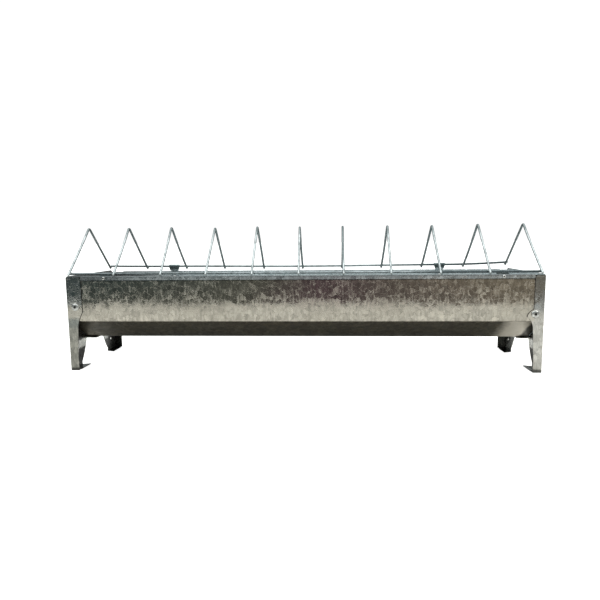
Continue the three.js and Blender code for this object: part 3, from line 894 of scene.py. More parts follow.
@dataclass
class TroughSheet:
    """The folded sheet trough: one blank with rounded bends, closed hems and slightly wavy walls.

    Args:
        finish: Every finish.
        foot_height: Height at which a wall turns in towards the bottom.
        half_bottom: Half the width of the flat bottom.
        hem_thickness: How far a hem stands out from the wall.
        hem_height: Height of a hem.
        hem_stops: Distance from each end of the wall to the end of its hem.
        rear_drop: How far the rear rim is under the front one.
        bend_radius: Radius inside a bend.
        bend_segments: Facets across a bend.
        wave: Greatest depth of the waves in a wall.
        rows: Rows of faces up a wall.
        columns: Columns of faces along the trough.
    """

    finish: FinishSet
    foot_height: float = FOOT_HEIGHT
    half_bottom: float = HALF_BOTTOM
    hem_thickness: float = 1.1 * MM
    hem_height: float = 4.3 * MM
    hem_stops: tuple[tuple[Side, float], ...] = ((Side.LEFT, 15.2 * MM), (Side.RIGHT, 9.2 * MM))
    rear_drop: float = 3.3 * MM
    bend_radius: float = 1.0 * MM
    bend_segments: int = 4
    wave: float = 0.06 * MM
    rows: int = 8
    columns: int = 96

    def __post_init__(self) -> None:
        """Reads the outer sizes from the frame."""
        low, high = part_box("trough_body")
        self.half_length = high.x
        self.rim = high.z
        self.bottom = low.z
        self.hem_outer = high.y
        self.wall_outer = self.hem_outer - self.hem_thickness
        self.wall_inner = self.wall_outer - SHEET

    def build(self) -> bpy.types.Object:
        """Makes the sheet.

        Returns:
            The finished trough.
        """
        bm = bmesh.new()
        self._lay_section(bm)
        self._round_bends(bm)
        self._divide(bm)
        self._notch_hems(bm)
        self._wave_walls(bm)
        self._thicken(bm)
        self._mark_faces(bm)
        piece = Piece("trough_folded_sheet", Body.TROUGH, Slot.TROUGH, ("trough_body",))
        looks = [self.finish.inside, self.finish.outside, self.finish.underside, self.finish.hems]
        return piece.finish(bm, [look.material() for look in looks])

    def _rim_at(self, y: float) -> float:
        """Height of the rim on the side of the trough where y is."""
        return self.rim - self.rear_drop if y > 0 else self.rim

    def _lay_section(self, bm: bmesh.types.BMesh) -> None:
        """Draws the inside of the section from hem to hem and extrudes it along the trough."""
        slope = math.atan2(self.foot_height - self.bottom, self.wall_outer - self.half_bottom)
        foot = self.foot_height + SHEET * math.tan(math.pi / 4 - slope / 2)
        inner_half = self.half_bottom - SHEET * math.tan(slope / 2)
        section = []
        for side, rim in ((-1, self.rim), (1, self.rim - self.rear_drop)):
            half = [
                (side * self.hem_outer, rim - self.hem_height),
                (side * self.hem_outer, rim),
                (side * self.wall_inner, rim),
                (side * self.wall_inner, foot),
                (side * inner_half, self.bottom + SHEET),
            ]
            section.extend(half if side < 0 else reversed(half))
        corners = [bm.verts.new((-self.half_length, y, z)) for y, z in section]
        lines = [bm.edges.new(pair) for pair in zip(corners, corners[1:])]
        grown = bmesh.ops.extrude_edge_only(bm, edges=lines)["geom"]
        moved = [item for item in grown if isinstance(item, bmesh.types.BMVert)]
        bmesh.ops.translate(bm, verts=moved, vec=(2 * self.half_length, 0, 0))

    def _round_bends(self, bm: bmesh.types.BMesh) -> None:
        """Rounds the folds of the hems into half circles, and the other bends with the brake's radius."""
        fold = (self.hem_outer - self.wall_inner) / 2
        folds = edges_of(
            bm, lambda e: along(e, 0) and e.verts[0].co.z > self._rim_at(e.verts[0].co.y) - MERGE_DISTANCE)
        round_edges(bm, folds, 0.995 * fold, 2 * self.bend_segments)
        bends = edges_of(
            bm, lambda e: along(e, 0) and not e.is_boundary
            and e.verts[0].co.z < self._rim_at(e.verts[0].co.y) - 4 * fold)
        round_edges(bm, bends, self.bend_radius, self.bend_segments)

    def _divide(self, bm: bmesh.types.BMesh) -> None:
        """Divides walls, sloping sides and bottom, so that the sheet can wave."""
        short = 10.0 * MM
        cross = edges_of(bm, lambda e: not along(e, 0) and e.calc_length() > short)
        bmesh.ops.subdivide_edges(bm, edges=cross, cuts=self.rows - 1, use_grid_fill=True)
        lengthwise = edges_of(bm, lambda e: along(e, 0))
        bmesh.ops.subdivide_edges(bm, edges=lengthwise, cuts=self.columns - 1, use_grid_fill=True)

    def _notch_hems(self, bm: bmesh.types.BMesh) -> None:
        """Cuts the hems away at both ends, where the flanges of the end plates lap the walls."""
        near = 0.02 * MM
        for side, notch in self.hem_stops:
            stop = self.half_length - notch
            everything = bm.verts[:] + bm.edges[:] + bm.faces[:]
            bmesh.ops.bisect_plane(bm, geom=everything, dist=MERGE_DISTANCE,
                                   plane_co=(side.value * stop, 0, 0), plane_no=(1, 0, 0))
            waste = []
            for face in bm.faces:
                centre = face.calc_center_median()
                if side.value * centre.x > stop and abs(centre.y) > self.wall_inner + near:
                    waste.append(face)
            bmesh.ops.delete(bm, geom=waste, context="FACES")

    def _wave_walls(self, bm: bmesh.types.BMesh) -> None:
        """Lets the long walls wave a little between their hems and their bends."""
        still = 30.0 * MM
        for vert in bm.verts:
            top = self._rim_at(vert.co.y) - self.hem_height
            if abs(vert.co.y) < self.wall_inner - MERGE_DISTANCE or vert.co.z > top:
                continue
            wall = top - self.foot_height
            rise = (vert.co.z - self.foot_height) / wall
            end = min(1.0, (self.half_length - abs(vert.co.x)) / still)
            belly = math.sin(math.pi * min(1.0, max(0.0, rise))) * end
            place = Vector((vert.co.x * 28.0, 3.0 * math.copysign(1.0, vert.co.y), vert.co.z * 30.0))
            vert.co.y += self.wave * belly * noise.noise(place)

    def _thicken(self, bm: bmesh.types.BMesh) -> None:
        """Gives the sheet its thickness, away from the feed."""
        bmesh.ops.recalc_face_normals(bm, faces=bm.faces)
        bottom = min(bm.faces, key=lambda face: face.calc_center_median().z)
        if bottom.normal.z < 0:
            bmesh.ops.reverse_faces(bm, faces=bm.faces)
        bmesh.ops.solidify(bm, geom=bm.faces[:], thickness=SHEET)

    def _mark_faces(self, bm: bmesh.types.BMesh) -> None:
        """Sets which face of the sheet each polygon is on."""
        near = 0.1 * MM
        bm.normal_update()
        for face in bm.faces:
            centre = face.calc_center_median()
            out = face.normal.y * math.copysign(1.0, centre.y)
            reach = abs(centre.y)
            if reach > self.wall_outer + near or centre.z > self._rim_at(centre.y) - self.hem_thickness:
                side = TroughFace.HEM
            # Faces turned down take the underside material, which carries painted shade.
            elif face.normal.z < -0.3 and centre.z < self.foot_height - 5 * near:
                side = TroughFace.UNDERSIDE
            elif out > 0.5 and reach > self.wall_outer - SHEET / 2:
                side = TroughFace.OUTSIDE
            elif out > 0.2 and face.normal.z < 0:
                side = TroughFace.OUTSIDE
            else:
                side = TroughFace.INSIDE
            face.material_index = side.value


# ---------------------------------------------------------------- end plates


@dataclass
class EndPlate:
    """One end plate with its flanges, legs, foot pads and lip, its bends rounded and its edges eased.

    Args:
        side: Which end of the trough it closes.
        looks: Materials of its outer faces, its feed side and its back.
        foot_height: Height at which a wall of the trough turns in.
        half_bottom: Half the width of the trough's bottom.
        bend_radius: Outer radius of the bends.
        bend_segments: Facets across a bend.
        ease: Most that the cut edges are rounded by. The shortest edge of the outline limits it.
        lap: Depth of the zone along the front and the rear that holds both faces of a flange.
    """

    side: Side
    looks: Sequence[bpy.types.Material]
    foot_height: float = FOOT_HEIGHT
    half_bottom: float = HALF_BOTTOM
    bend_radius: float = 1.3 * MM
    bend_segments: int = 5
    ease: float = 0.14 * MM
    lap: float = 1.2 * MM

    def build(self) -> bpy.types.Object:
        """Makes the plate.

        Returns:
            The finished plate.
        """
        node = f"end_plate_{self.side.word}"
        low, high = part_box(node)
        self.outer_x = max(abs(low.x), abs(high.x))
        self.outer_y = high.y
        bm = copy_of_node(node)
        round_edges(bm, edges_of(bm, self._is_bend), self.bend_radius, self.bend_segments)
        round_edges(bm, sharp_edges(bm), self.ease, EASE_FACETS)
        self._part_feed_side(bm)
        bmesh.ops.remove_doubles(bm, verts=bm.verts, dist=WELD_DISTANCE)
        self._mark_faces(bm)
        piece = Piece(f"plate_{self.side.word}", Body.TROUGH, Slot.LEG, (node,))
        return piece.finish(bm, self.looks, SHARP_ANGLE)

    def _part_feed_side(self, bm: bmesh.types.BMesh) -> None:
        """Cuts the faces where the trough's bottom and sloping sides meet the plate."""
        self.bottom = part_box("trough_body")[0].z
        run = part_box("trough_body")[1].y - self.half_bottom
        self.rise = (self.foot_height - self.bottom) / run
        planes = [((0, 0, self.bottom), (0, 0, 1))]
        for sign in (-1, 1):
            planes.append(((0, sign * self.half_bottom, self.bottom), (0, -sign * self.rise, 1)))
        for place, facing in planes:
            everything = bm.verts[:] + bm.edges[:] + bm.faces[:]
            bmesh.ops.bisect_plane(bm, geom=everything, dist=MERGE_DISTANCE, plane_co=place, plane_no=facing)

    def _mark_faces(self, bm: bmesh.types.BMesh) -> None:
        """Sets which side of the plate each polygon is on."""
        bm.normal_update()
        for face in bm.faces:
            centre = face.calc_center_median()
            reach = abs(centre.y)
            front_or_rear = math.copysign(1.0, centre.y)
            outward = Vector((math.copysign(1.0, centre.x), 0, 0))
            if reach > self.outer_y - self.lap / 2:
                outward.y = front_or_rear
            slope = self.bottom + self.rise * max(0.0, reach - self.half_bottom)
            in_flange = reach > self.outer_y - self.lap
            # Flange backs take the back material, with its painted shade.
            tucked = in_flange and face.normal.y * front_or_rear < -0.5
            if face.normal.dot(outward) > -0.1 and centre.z > self.ease and not tucked:
                side = PlateFace.OUTER
            elif centre.z > slope and not in_flange:
                side = PlateFace.FEED
            else:
                side = PlateFace.BACK
            face.material_index = side.value

    def _is_bend(self, edge: bmesh.types.BMEdge) -> bool:
        """Whether an edge is the outside of a bend: down the corners, or along a foot pad."""
        first, second = (vert.co for vert in edge.verts)
        near = 0.02 * MM
        if abs(abs(first.x) - self.outer_x) > near or abs(abs(second.x) - self.outer_x) > near:
            return False
        corner = along(edge, 2) and abs(abs(first.y) - self.outer_y) < near
        pad = along(edge, 1) and max(first.z, second.z) < near
        return corner or pad


# ---------------------------------------------------------------- rivets


@dataclass
class PopRivet:
    """A blind rivet: a domed collar with the broken stem in its hole, and a rolled tail inside.

    Args:
        node: CAD node that it stands for.
        looks: Materials of the collar and of the broken stem.
        outward: Sign of Y in which its head faces.
        head_rise: How far the head stands out.
        hole_share: Radius of the hole in the head, as a share of the head's radius.
        steps: Facets round the rivet.
    """

    node: str
    looks: Sequence[bpy.types.Material]
    outward: int
    head_rise: float
    hole_share: float = 0.36
    steps: int = 40

    def build(self) -> bpy.types.Object:
        """Makes the rivet.

        Returns:
            The finished rivet.
        """
        low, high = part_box(self.node)
        self.centre = (low + high) / 2
        self.radius = (high.x - low.x) / 2
        self.outer_y = high.y if self.outward > 0 else low.y
        self.inner_y = low.y if self.outward > 0 else high.y
        bm = bmesh.new()
        self._spin(bm, self._collar())
        self._spin(bm, self._stem())
        self._tip_stem(bm)
        self._mark_stem(bm)
        piece = Piece(f"pop_{self.node}", Body.TROUGH, Slot.RIVET, (self.node,))
        return piece.finish(bm, self.looks)

    def _collar(self) -> list[tuple[float, float]]:
        """Radius and depth under the top of the head, from its hole over the dome to the tail."""
        head = self.radius
        hole = self.hole_share * head
        rise = self.head_rise
        whole = abs(self.outer_y - self.inner_y)
        shank = 0.5 * head
        tail = 0.78 * head
        quarter = [step / 6 * math.pi / 2 for step in range(7)]
        crown = [
            (hole + (head - hole) * math.sin(angle), rise * (1 - math.cos(angle))) for angle in quarter
        ]
        inner = [(0.0, 0.55 * rise), (0.9 * hole, 0.55 * rise), (0.97 * hole, 0.25 * rise)]
        back = [(head, 1.04 * rise), (shank, 1.04 * rise), (shank, whole - 0.9 * rise),
                (tail, whole - 0.7 * rise), (tail, whole - 0.3 * rise), (0.8 * tail, whole), (0.0, whole)]
        return inner + crown + back

    def _stem(self) -> list[tuple[float, float]]:
        """Radius and depth of the broken stem inside the head's hole."""
        hole = self.hole_share * self.radius
        top = 0.28 * self.head_rise
        foot = 0.8 * self.head_rise
        side = 0.5 * hole
        return [(0.0, top), (0.7 * side, 1.05 * top), (side, 1.4 * top), (side, foot), (0.0, foot)]

    def _spin(self, bm: bmesh.types.BMesh, profile: Sequence[tuple[float, float]]) -> None:
        """Turns a profile round the rivet's axis.

        Args:
            bm: The mesh that it is added to.
            profile: Radius and depth under the head's top of each point, from axis to axis.
        """
        inwards = -self.outward
        points = [
            bm.verts.new((self.centre.x + radius, self.outer_y + inwards * depth, self.centre.z))
            for radius, depth in profile
        ]
        lines = [bm.edges.new(pair) for pair in zip(points, points[1:])]
        bmesh.ops.spin(bm, geom=points + lines, cent=(self.centre.x, 0, self.centre.z), axis=(0, 1, 0),
                       angle=2 * math.pi, steps=self.steps, use_merge=True)
        bmesh.ops.remove_doubles(bm, verts=bm.verts, dist=MERGE_DISTANCE)
        bmesh.ops.recalc_face_normals(bm, faces=bm.faces)

    def _mark_stem(self, bm: bmesh.types.BMesh) -> None:
        """Gives the stem and the well round it the near-black stem material, painted shade down in the hole
        of the head.
        """
        well = self.hole_share * self.radius
        for face in bm.faces:
            place = face.calc_center_median() - self.centre
            sunk = abs(face.calc_center_median().y - self.outer_y)
            if math.hypot(place.x, place.z) < 0.99 * well and sunk < 1.02 * self.head_rise:
                face.material_index = 1

    def _tip_stem(self, bm: bmesh.types.BMesh) -> None:
        """Tips the broken end of the stem, as the tool leaves it."""
        hole = self.hole_share * self.radius
        for vert in bm.verts:
            place = vert.co - self.centre
            sunk = abs(vert.co.y - self.outer_y)
            if math.hypot(place.x, place.z) < 0.6 * hole and sunk < 0.5 * self.head_rise:
                vert.co.y += self.outward * 0.25 * (place.x + place.z)


# ---------------------------------------------------------------- clips and rests


@dataclass
class PressedPart:
    """A small pressed part, clip or rest, with eased edges.

    Args:
        node: CAD node that it stands for.
        name: Name of the piece.
        look: Material of the part.
        ease: Rounding of its edges.
    """

    node: str
    name: str
    look: bpy.types.Material
    ease: float = 0.12 * MM

    def build(self) -> bpy.types.Object:
        """Makes the part.

        Returns:
            The finished part.
        """
        bm = copy_of_node(self.node)
        round_edges(bm, sharp_edges(bm), self.ease, EASE_FACETS)
        return Piece(self.name, Body.TROUGH, Slot.CLIP, (self.node,)).finish(bm, [self.look])


# ---------------------------------------------------------------- grille


@dataclass
class Grille:
    """The hinged grille: two long rails, eleven bent hoops and a weld at each crossing.

    Args:
        look: Material of the hoops and welds.
        rail_look: Material of the rails.
        hoop_rise: From the rim to where the straight legs of a hoop would meet.
        bend: Distance from that point to where the bend starts.
        weld_spacing: From the centre of a rail to the centre of a hoop.
        rear_tail: Wire past the weld on the rear rail.
        hem_clearance: Gap between a hoop's front foot and the hem under it.
        facets: Facets round a wire.
        steps: Stretches that a leg is drawn in.
        front_shift: How far along X each hoop's front weld is off its mark, in millimetres.
        top_shift: The same for its top.
        rear_shift: The same for its rear weld.
        dip: How far the top of each hoop is bent down, in millimetres.
        sag: How far the rear rail hangs down between its clips.
        right_lift: How far the rear rail's right end is bent up past its clip.
        left_lift: How far its left end is.
        bow: How far the middle of a leg is bent in.
        seed: Seed of the small irregularities.
    """

    look: bpy.types.Material
    rail_look: bpy.types.Material
    hoop_rise: float = 52.1 * MM
    bend: float = 3.5 * MM
    weld_spacing: float = 2.8 * MM
    rear_tail: float = 1.0 * MM
    hem_clearance: float = 0.3 * MM
    facets: int = 14
    steps: int = 16
    front_shift: Sequence[float] = (0.0, -0.4, 1.0, 0.0, -0.4, -0.6, -3.1, -3.6, -2.7, -2.4, 0.0)
    top_shift: Sequence[float] = (-1.6, -3.4, -2.7, -1.1, -1.6, -2.5, -3.2, -2.3, -2.3, -1.1, -1.1)
    rear_shift: Sequence[float] = (-1.6, -2.5, -1.3, -2.0, -1.7, -2.4, -2.9, -4.0, -4.2, -3.2, -1.8)
    dip: Sequence[float] = (0.8, 1.0, 0.7, 1.7, 0.9, 1.5, 1.3, 1.3, 1.5, 0.7, 0.7)
    sag: float = 0.9 * MM
    right_lift: float = 2.6 * MM
    left_lift: float = 0.7 * MM
    bow: float = 0.5 * MM
    seed: int = 5

    def __post_init__(self) -> None:
        """Reads the rails, the rim and the hoops' places from the frame."""
        self.random = random.Random(self.seed)
        low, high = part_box("rail_front")
        self.front_rail = (low + high) / 2
        self.rail_half = (high.x - low.x) / 2
        low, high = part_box("rail_rear")
        self.rear_rail = (low + high) / 2
        self.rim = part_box("trough_body")[1].z
        low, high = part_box("hinge_clip_right")
        self.clip_x = (low.x + high.x) / 2
        self.hoop_nodes = sorted(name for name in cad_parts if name.startswith("hoop_"))

    def build(self) -> None:
        """Makes every wire and weld."""
        for name, centre in (("rail_front", self.front_rail), ("rail_rear", self.rear_rail)):
            self._rail(name, centre)
        for index, node in enumerate(self.hoop_nodes):
            self._hoop(index, node)
        self._welds("front", self.front_rail, 1)
        self._welds("rear", self.rear_rail, -1)

    def _rail(self, node: str, centre: Vector) -> bpy.types.Object:
        """One long rail, not quite straight between its welds.

        Args:
            node: CAD node that it stands for.
            centre: Middle of the rail.

        Returns:
            The finished rail.
        """
        count = 60
        wander = 0.12 * MM
        path = []
        for step in range(count + 1):
            x = -self.rail_half + 2 * self.rail_half * step / count
            sway = noise.noise(Vector((x * 9, centre.y * 40, 0))) * wander
            lift = self._rear_lift(x) if centre.y > 0 else 0.0
            path.append(Vector((x, centre.y + sway, centre.z + lift)))
        bm = bmesh.new()
        sweep(bm, path, WIRE_RADIUS, self.facets)
        return self._wire_piece(bm, f"grille_{node}", node, self.rail_look)

    def _rear_lift(self, x: float) -> float:
        """Height of the bent rear rail over its straight axis, at one place along it."""
        if abs(x) < self.clip_x:
            return -self.sag * math.cos(math.pi / 2 * x / self.clip_x) ** 2
        past = (abs(x) - self.clip_x) / (self.rail_half - self.clip_x)
        return (self.right_lift if x > 0 else self.left_lift) * past**2

    def _leg(self, rail: Vector, over: int) -> tuple[Vector, float, float]:
        """Direction, angle and length of a leg from the apex to where it passes a rail.

        Args:
            rail: Middle of the rail.
            over: 1 when the wire crosses above the rail and -1 when it crosses below.

        Returns:
            The unit direction, the angle below the horizontal and the length to the weld.
        """
        drop = self.rim + self.hoop_rise - rail.z
        reach = math.hypot(rail.y, drop)
        angle = math.atan2(drop, abs(rail.y)) - over * math.asin(self.weld_spacing / reach)
        length = math.sqrt(reach**2 - self.weld_spacing**2)
        direction = Vector((0, math.copysign(math.cos(angle), rail.y), -math.sin(angle)))
        return direction, angle, length

    def _hoop_path(self, index: int, x: float) -> list[Vector]:
        """Centre line of a hoop, from its front foot over the top to its rear tail.

        Args:
            index: Number of the hoop from the left.
            x: Its place along the rails.

        Returns:
            The points.
        """
        top = Vector((x, 0, self.rim + self.hoop_rise))
        apex = top + Vector((self.top_shift[index], 0, -self.dip[index])) * MM
        front, front_angle, _ = self._leg(self.front_rail, 1)
        rear, _, rear_length = self._leg(self.rear_rail, -1)
        drop = self.hoop_rise - self.hem_clearance - WIRE_RADIUS * math.cos(front_angle)
        front_foot = top + front * (drop / math.sin(front_angle))
        front_foot.x += self.front_shift[index] * MM
        rear_tail = top + rear * (rear_length + self.rear_tail)
        rear_tail.x += self.rear_shift[index] * MM
        rear_tail.z += self._rear_lift(rear_tail.x)
        bend_front = apex + (front_foot - apex).normalized() * self.bend
        bend_rear = apex + (rear_tail - apex).normalized() * self.bend
        points = self._bowed(front_foot, bend_front)
        turns = 8
        for step in range(1, turns):
            t = step / turns
            points.append(bend_front * (1 - t) ** 2 + apex * (2 * t * (1 - t)) + bend_rear * t**2)
        return points + self._bowed(bend_rear, rear_tail)

    def _bowed(self, start: Vector, end: Vector) -> list[Vector]:
        """A leg from start to end, bent in a little at its middle.

        Args:
            start: First point.
            end: Last point.

        Returns:
            The points of the leg.
        """
        run = end - start
        inward = Vector((0, -math.copysign(1.0, start.y + end.y), -0.6)).normalized()
        depth = self.bow * self.random.uniform(0.3, 1.0)
        side = Vector((self.random.uniform(-0.25, 0.25) * MM, 0, 0))
        return [
            start + run * (step / self.steps)
            + (inward * depth + side) * math.sin(math.pi * step / self.steps)
            for step in range(self.steps + 1)
        ]

    def _hoop(self, index: int, node: str) -> bpy.types.Object:
        """One hoop of the grille.

        Args:
            index: Number of the hoop from the left.
            node: CAD node that it stands for.

        Returns:
            The finished hoop.
        """
        low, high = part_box(node)
        bm = bmesh.new()
        sweep(bm, self._hoop_path(index, (low.x + high.x) / 2), WIRE_RADIUS, self.facets)
        return self._wire_piece(bm, f"grille_{node}", node, self.look)

    def _wire_piece(
        self, bm: bmesh.types.BMesh, name: str, node: str, look: bpy.types.Material
    ) -> bpy.types.Object:
        """Rounds a wire's two cut ends and finishes it."""
        ends = [face for face in bm.faces if len(face.verts) == self.facets]
        rims = {edge for face in ends for edge in face.edges}
        burr_round = 0.3 * WIRE_RADIUS
        round_edges(bm, rims, burr_round, EASE_FACETS)
        return Piece(name, Body.GRILLE, Slot.WIRE, (node,)).finish(bm, [look])

    def _welds(self, word: str, rail: Vector, over: int) -> bpy.types.Object:
        """The row of weld beads along one rail.

        Args:
            word: Name of the row.
            rail: Middle of the rail.
            over: 1 when the hoops cross above the rail and -1 when they cross below.

        Returns:
            The finished row.
        """
        direction, _, length = self._leg(rail, over)
        lumps = 0.22
        spread = Matrix.Diagonal((1.45 * MM, 1.6 * MM, 0.95 * MM, 1.0))
        bm = bmesh.new()
        shifts = self.front_shift if over > 0 else self.rear_shift
        for node, shift in zip(self.hoop_nodes, shifts):
            low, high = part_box(node)
            top = Vector(((low.x + high.x) / 2 + shift * MM, 0, self.rim + self.hoop_rise))
            wire = top + direction * length
            held = Vector((top.x, rail.y, rail.z))
            lift = Vector((0, 0, self._rear_lift(top.x) if over < 0 else 0.0))
            centre = (wire + held) / 2 + lift
            bead = bmesh.ops.create_icosphere(bm, subdivisions=3, radius=1.0)["verts"]
            upright = (wire - held).normalized()
            turn = upright.to_track_quat("Z", "X").to_matrix().to_4x4()
            for vert in bead:
                vert.co *= 1 + lumps * noise.noise(vert.co * 1.6 + Vector((top.x * 900, 0, rail.y * 50)))
            bmesh.ops.transform(bm, matrix=Matrix.Translation(centre) @ turn @ spread, verts=bead)
        bmesh.ops.recalc_face_normals(bm, faces=bm.faces)
        return Piece(f"grille_welds_{word}", Body.GRILLE, Slot.WIRE).finish(bm, [self.look])


# ---------------------------------------------------------------- stage and camera


@dataclass
class Studio:
    """Pale floor, soft lights, the dark cards that metal mirrors, and the camera.

    Args:
        floor_half: Half the width of the floor.
        near_half: Half length and half width of the bare floor between the dark cards.
        glow: Light of the floor as the camera sees it.
    """

    floor_half: float = 6.0
    near_half: tuple[float, float] = (0.95, 0.575)
    glow: float = 0.85

    def build(self) -> None:
        """Makes the floor, the cards, the lights and the camera."""
        self._world()
        self._floor()
        self._cards()
        self._lights()
        self._camera()
        bpy.context.scene.view_settings.view_transform = "Standard"

    def _stage_piece(self, name: str, bm: bmesh.types.BMesh) -> tuple[bpy.types.Object, NodeBench]:
        """Makes a stage object with an empty material.

        Args:
            name: Name of the object.
            bm: Its mesh, which is freed.

        Returns:
            The object and the bench of its material.
        """
        mesh = bpy.data.meshes.new(name)
        bm.to_mesh(mesh)
        bm.free()
        bench = NodeBench(name)
        mesh.materials.append(bench.material)
        piece = bpy.data.objects.new(name, mesh)
        bpy.context.scene.collection.objects.link(piece)
        return piece, bench

    def _world(self) -> None:
        """White behind the feeder, and a soft sky over a dim horizon for everything that metal mirrors."""
        world = bpy.data.worlds.new("studio")
        bpy.context.scene.world = world
        world.use_nodes = True
        tree = world.node_tree
        tree.nodes.clear()
        output = tree.nodes.new("ShaderNodeOutputWorld")
        seen = tree.nodes.new("ShaderNodeBackground")
        seen.inputs["Color"].default_value = (1.0, 1.0, 1.0, 1.0)
        seen.inputs["Strength"].default_value = 1.05
        sky = tree.nodes.new("ShaderNodeBackground")
        ramp = tree.nodes.new("ShaderNodeValToRGB")
        fill_ramp(ramp, ((0.0, (0.10, 0.11, 0.11)), (0.12, (0.16, 0.17, 0.17)),
                         (0.45, (0.70, 0.76, 0.78)), (0.9, (0.95, 1.0, 1.0))))
        heading = tree.nodes.new("ShaderNodeTexCoord")
        split = tree.nodes.new("ShaderNodeSeparateXYZ")
        tree.links.new(heading.outputs["Generated"], split.inputs["Vector"])
        tree.links.new(split.outputs["Z"], ramp.inputs["Fac"])
        tree.links.new(ramp.outputs["Color"], sky.inputs["Color"])
        sky.inputs["Strength"].default_value = 1.0
        path = tree.nodes.new("ShaderNodeLightPath")
        blend = tree.nodes.new("ShaderNodeMixShader")
        tree.links.new(path.outputs["Is Camera Ray"], blend.inputs["Fac"])
        tree.links.new(sky.outputs["Background"], blend.inputs[1])
        tree.links.new(seen.outputs["Background"], blend.inputs[2])
        tree.links.new(blend.outputs["Shader"], output.inputs["Surface"])

    def _floor(self) -> None:
        """A plain pale floor that stays near white to the camera."""
        bm = bmesh.new()
        bmesh.ops.create_grid(bm, x_segments=1, y_segments=1, size=self.floor_half)
        clear = 0.2 * MM
        bmesh.ops.translate(bm, verts=bm.verts, vec=(0, 0, -clear))
        _, bench = self._stage_piece("floor", bm)
        bench.shader.inputs["Base Color"].default_value = (0.82, 0.81, 0.78, 1.0)
        bench.shader.inputs["Roughness"].default_value = 0.9
        bench.shader.inputs["Emission Color"].default_value = (1.0, 1.0, 1.0, 1.0)
        path = bench.add("ShaderNodeLightPath")
        bench.feed(bench.shader.inputs["Emission Strength"],
                   bench.math("MULTIPLY", path.outputs["Is Camera Ray"], self.glow))

    def _cards(self) -> None:
        """Dark cards lying round the bare floor. Only metal sees them, as a dim room beyond the floor."""
        bm = bmesh.new()
        bmesh.ops.create_grid(bm, x_segments=1, y_segments=1, size=1.0)
        bmesh.ops.scale(bm, verts=bm.verts, vec=(*self.near_half, 1.0))
        middle = bm.faces[:]
        spread = (6.0, 8.0, 1.0)
        grown = bmesh.ops.extrude_edge_only(bm, edges=bm.edges[:])["geom"]
        outer = [item for item in grown if isinstance(item, bmesh.types.BMVert)]
        bmesh.ops.scale(bm, verts=outer, vec=spread)
        bmesh.ops.delete(bm, geom=middle, context="FACES_ONLY")
        bmesh.ops.translate(bm, verts=bm.verts, vec=(0, 0, 1.0 * MM))
        cards, bench = self._stage_piece("dark_cards", bm)
        bench.shader.inputs["Base Color"].default_value = (0.0, 0.0, 0.0, 1.0)
        bench.shader.inputs["Roughness"].default_value = 1.0
        split = bench.add("ShaderNodeSeparateXYZ")
        bench.link(bench.coordinates, split.inputs["Vector"])
        place = bench.band(split.outputs["X"], -0.6, 0.6)
        tone = bench.ramp(place, ((0.0, (0.033, 0.058, 0.060)), (0.36, (0.105, 0.112, 0.097)),
                                  (0.50, (0.10, 0.056, 0.077)), (0.62, (0.125, 0.098, 0.098)),
                                  (0.95, (0.28, 0.25, 0.20))))
        bench.feed(bench.shader.inputs["Emission Color"], tone)
        bench.shader.inputs["Emission Strength"].default_value = 1.0
        cards.visible_camera = False
        cards.visible_diffuse = False
        cards.visible_shadow = False

    def _lights(self) -> None:
        """A wide soft box overhead, and a weaker one over each front corner."""
        self._soft_box("overhead", (0.0, -0.15, 1.5), (2.2, 1.5), 10.5, (1.0, 1.0, 1.0))
        self._soft_box("front_right", (1.3, -1.1, 1.2), (0.9, 0.9), 6.0, (1.0, 0.98, 0.94))
        self._soft_box("front_left", (-1.4, -1.0, 1.2), (0.9, 0.9), 3.0, (0.95, 0.98, 1.0))

    def _soft_box(
        self,
        name: str,
        place: tuple[float, float, float],
        size: tuple[float, float],
        power: float,
        colour: Colour,
    ) -> None:
        """Adds one rectangular light that faces the feeder.

        Args:
            name: Name of the light.
            place: Where it stands.
            size: Its two sides.
            power: Its power in watts.
            colour: Its colour.
        """
        data = bpy.data.lights.new(name, "AREA")
        data.shape = "RECTANGLE"
        data.size, data.size_y = size
        data.energy = power
        data.color = colour
        lamp = bpy.data.objects.new(name, data)
        middle = Vector((0, 0, 60 * MM))
        aim = middle - Vector(place)
        lamp.matrix_world = Matrix.Translation(place) @ aim.to_track_quat("-Z", "Y").to_matrix().to_4x4()
        bpy.context.scene.collection.objects.link(lamp)

    def _camera(self) -> None:
        """The camera, in front of the feeder and a little above it."""
        data = bpy.data.cameras.new("main_camera")
        data.sensor_width = 36.0
        data.lens = 32.1
        camera = bpy.data.objects.new("main_camera", data)
        yaw = -0.062
        pitch = 0.13
        roll = -0.0107
        place = Matrix.Translation((34.99 * MM, -612.98 * MM, 149.09 * MM))
        level = Matrix.Rotation(-yaw, 4, "Z") @ Matrix.Rotation(math.pi / 2 - pitch, 4, "X")
        camera.matrix_world = place @ level @ Matrix.Rotation(roll, 4, "Z")
        bpy.context.scene.collection.objects.link(camera)
        bpy.context.scene.camera = camera


# ---------------------------------------------------------------- the feeder


def build_rivets(looks: Sequence[bpy.types.Material]) -> None:
    """Makes every rivet of the feeder.

    Args:
        looks: Materials of the collars and of the broken stems.
    """
    for side in Side:
        for wall, outward in (("front", -1), ("rear", 1)):
            PopRivet(f"rivet_{wall}_{side.word}", looks, outward, CORNER_HEAD_RISE).build()
        PopRivet(f"clip_rivet_{side.word}", looks, 1, SMALL_HEAD_RISE).build()
        PopRivet(f"rest_rivet_{side.word}", looks, -1, SMALL_HEAD_RISE).build()


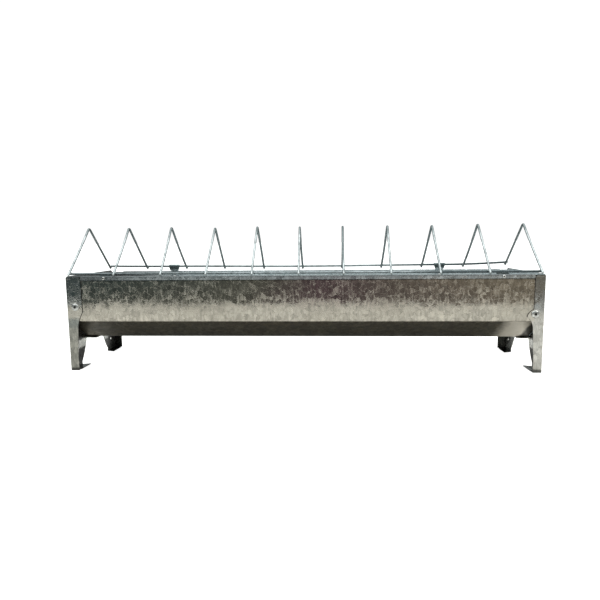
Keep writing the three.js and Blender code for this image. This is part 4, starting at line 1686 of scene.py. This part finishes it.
def main() -> None:
    """Builds the feeder from the sheet up, and the studio round it."""
    logging.basicConfig(level=logging.INFO, format="%(name)s: %(message)s")
    finishes = FinishSet()
    TroughSheet(finishes).build()
    feed_side = finishes.inside.material()
    backs = finishes.plate_backs.material()
    for side, outer in ((Side.LEFT, finishes.left_plate), (Side.RIGHT, finishes.right_plate)):
        EndPlate(side, [outer.material(), feed_side, backs]).build()
    build_rivets([finishes.rivets.material(), finishes.stems.material()])
    clips = finishes.clips.material()
    for side in Side:
        PressedPart(f"hinge_clip_{side.word}", f"clip_strap_{side.word}", clips).build()
        PressedPart(f"front_rest_{side.word}", f"rest_lug_{side.word}", clips).build()
    Grille(finishes.wire.material(), finishes.rails.material()).build()
    Studio().build()


if __name__ == "__main__":
    main()
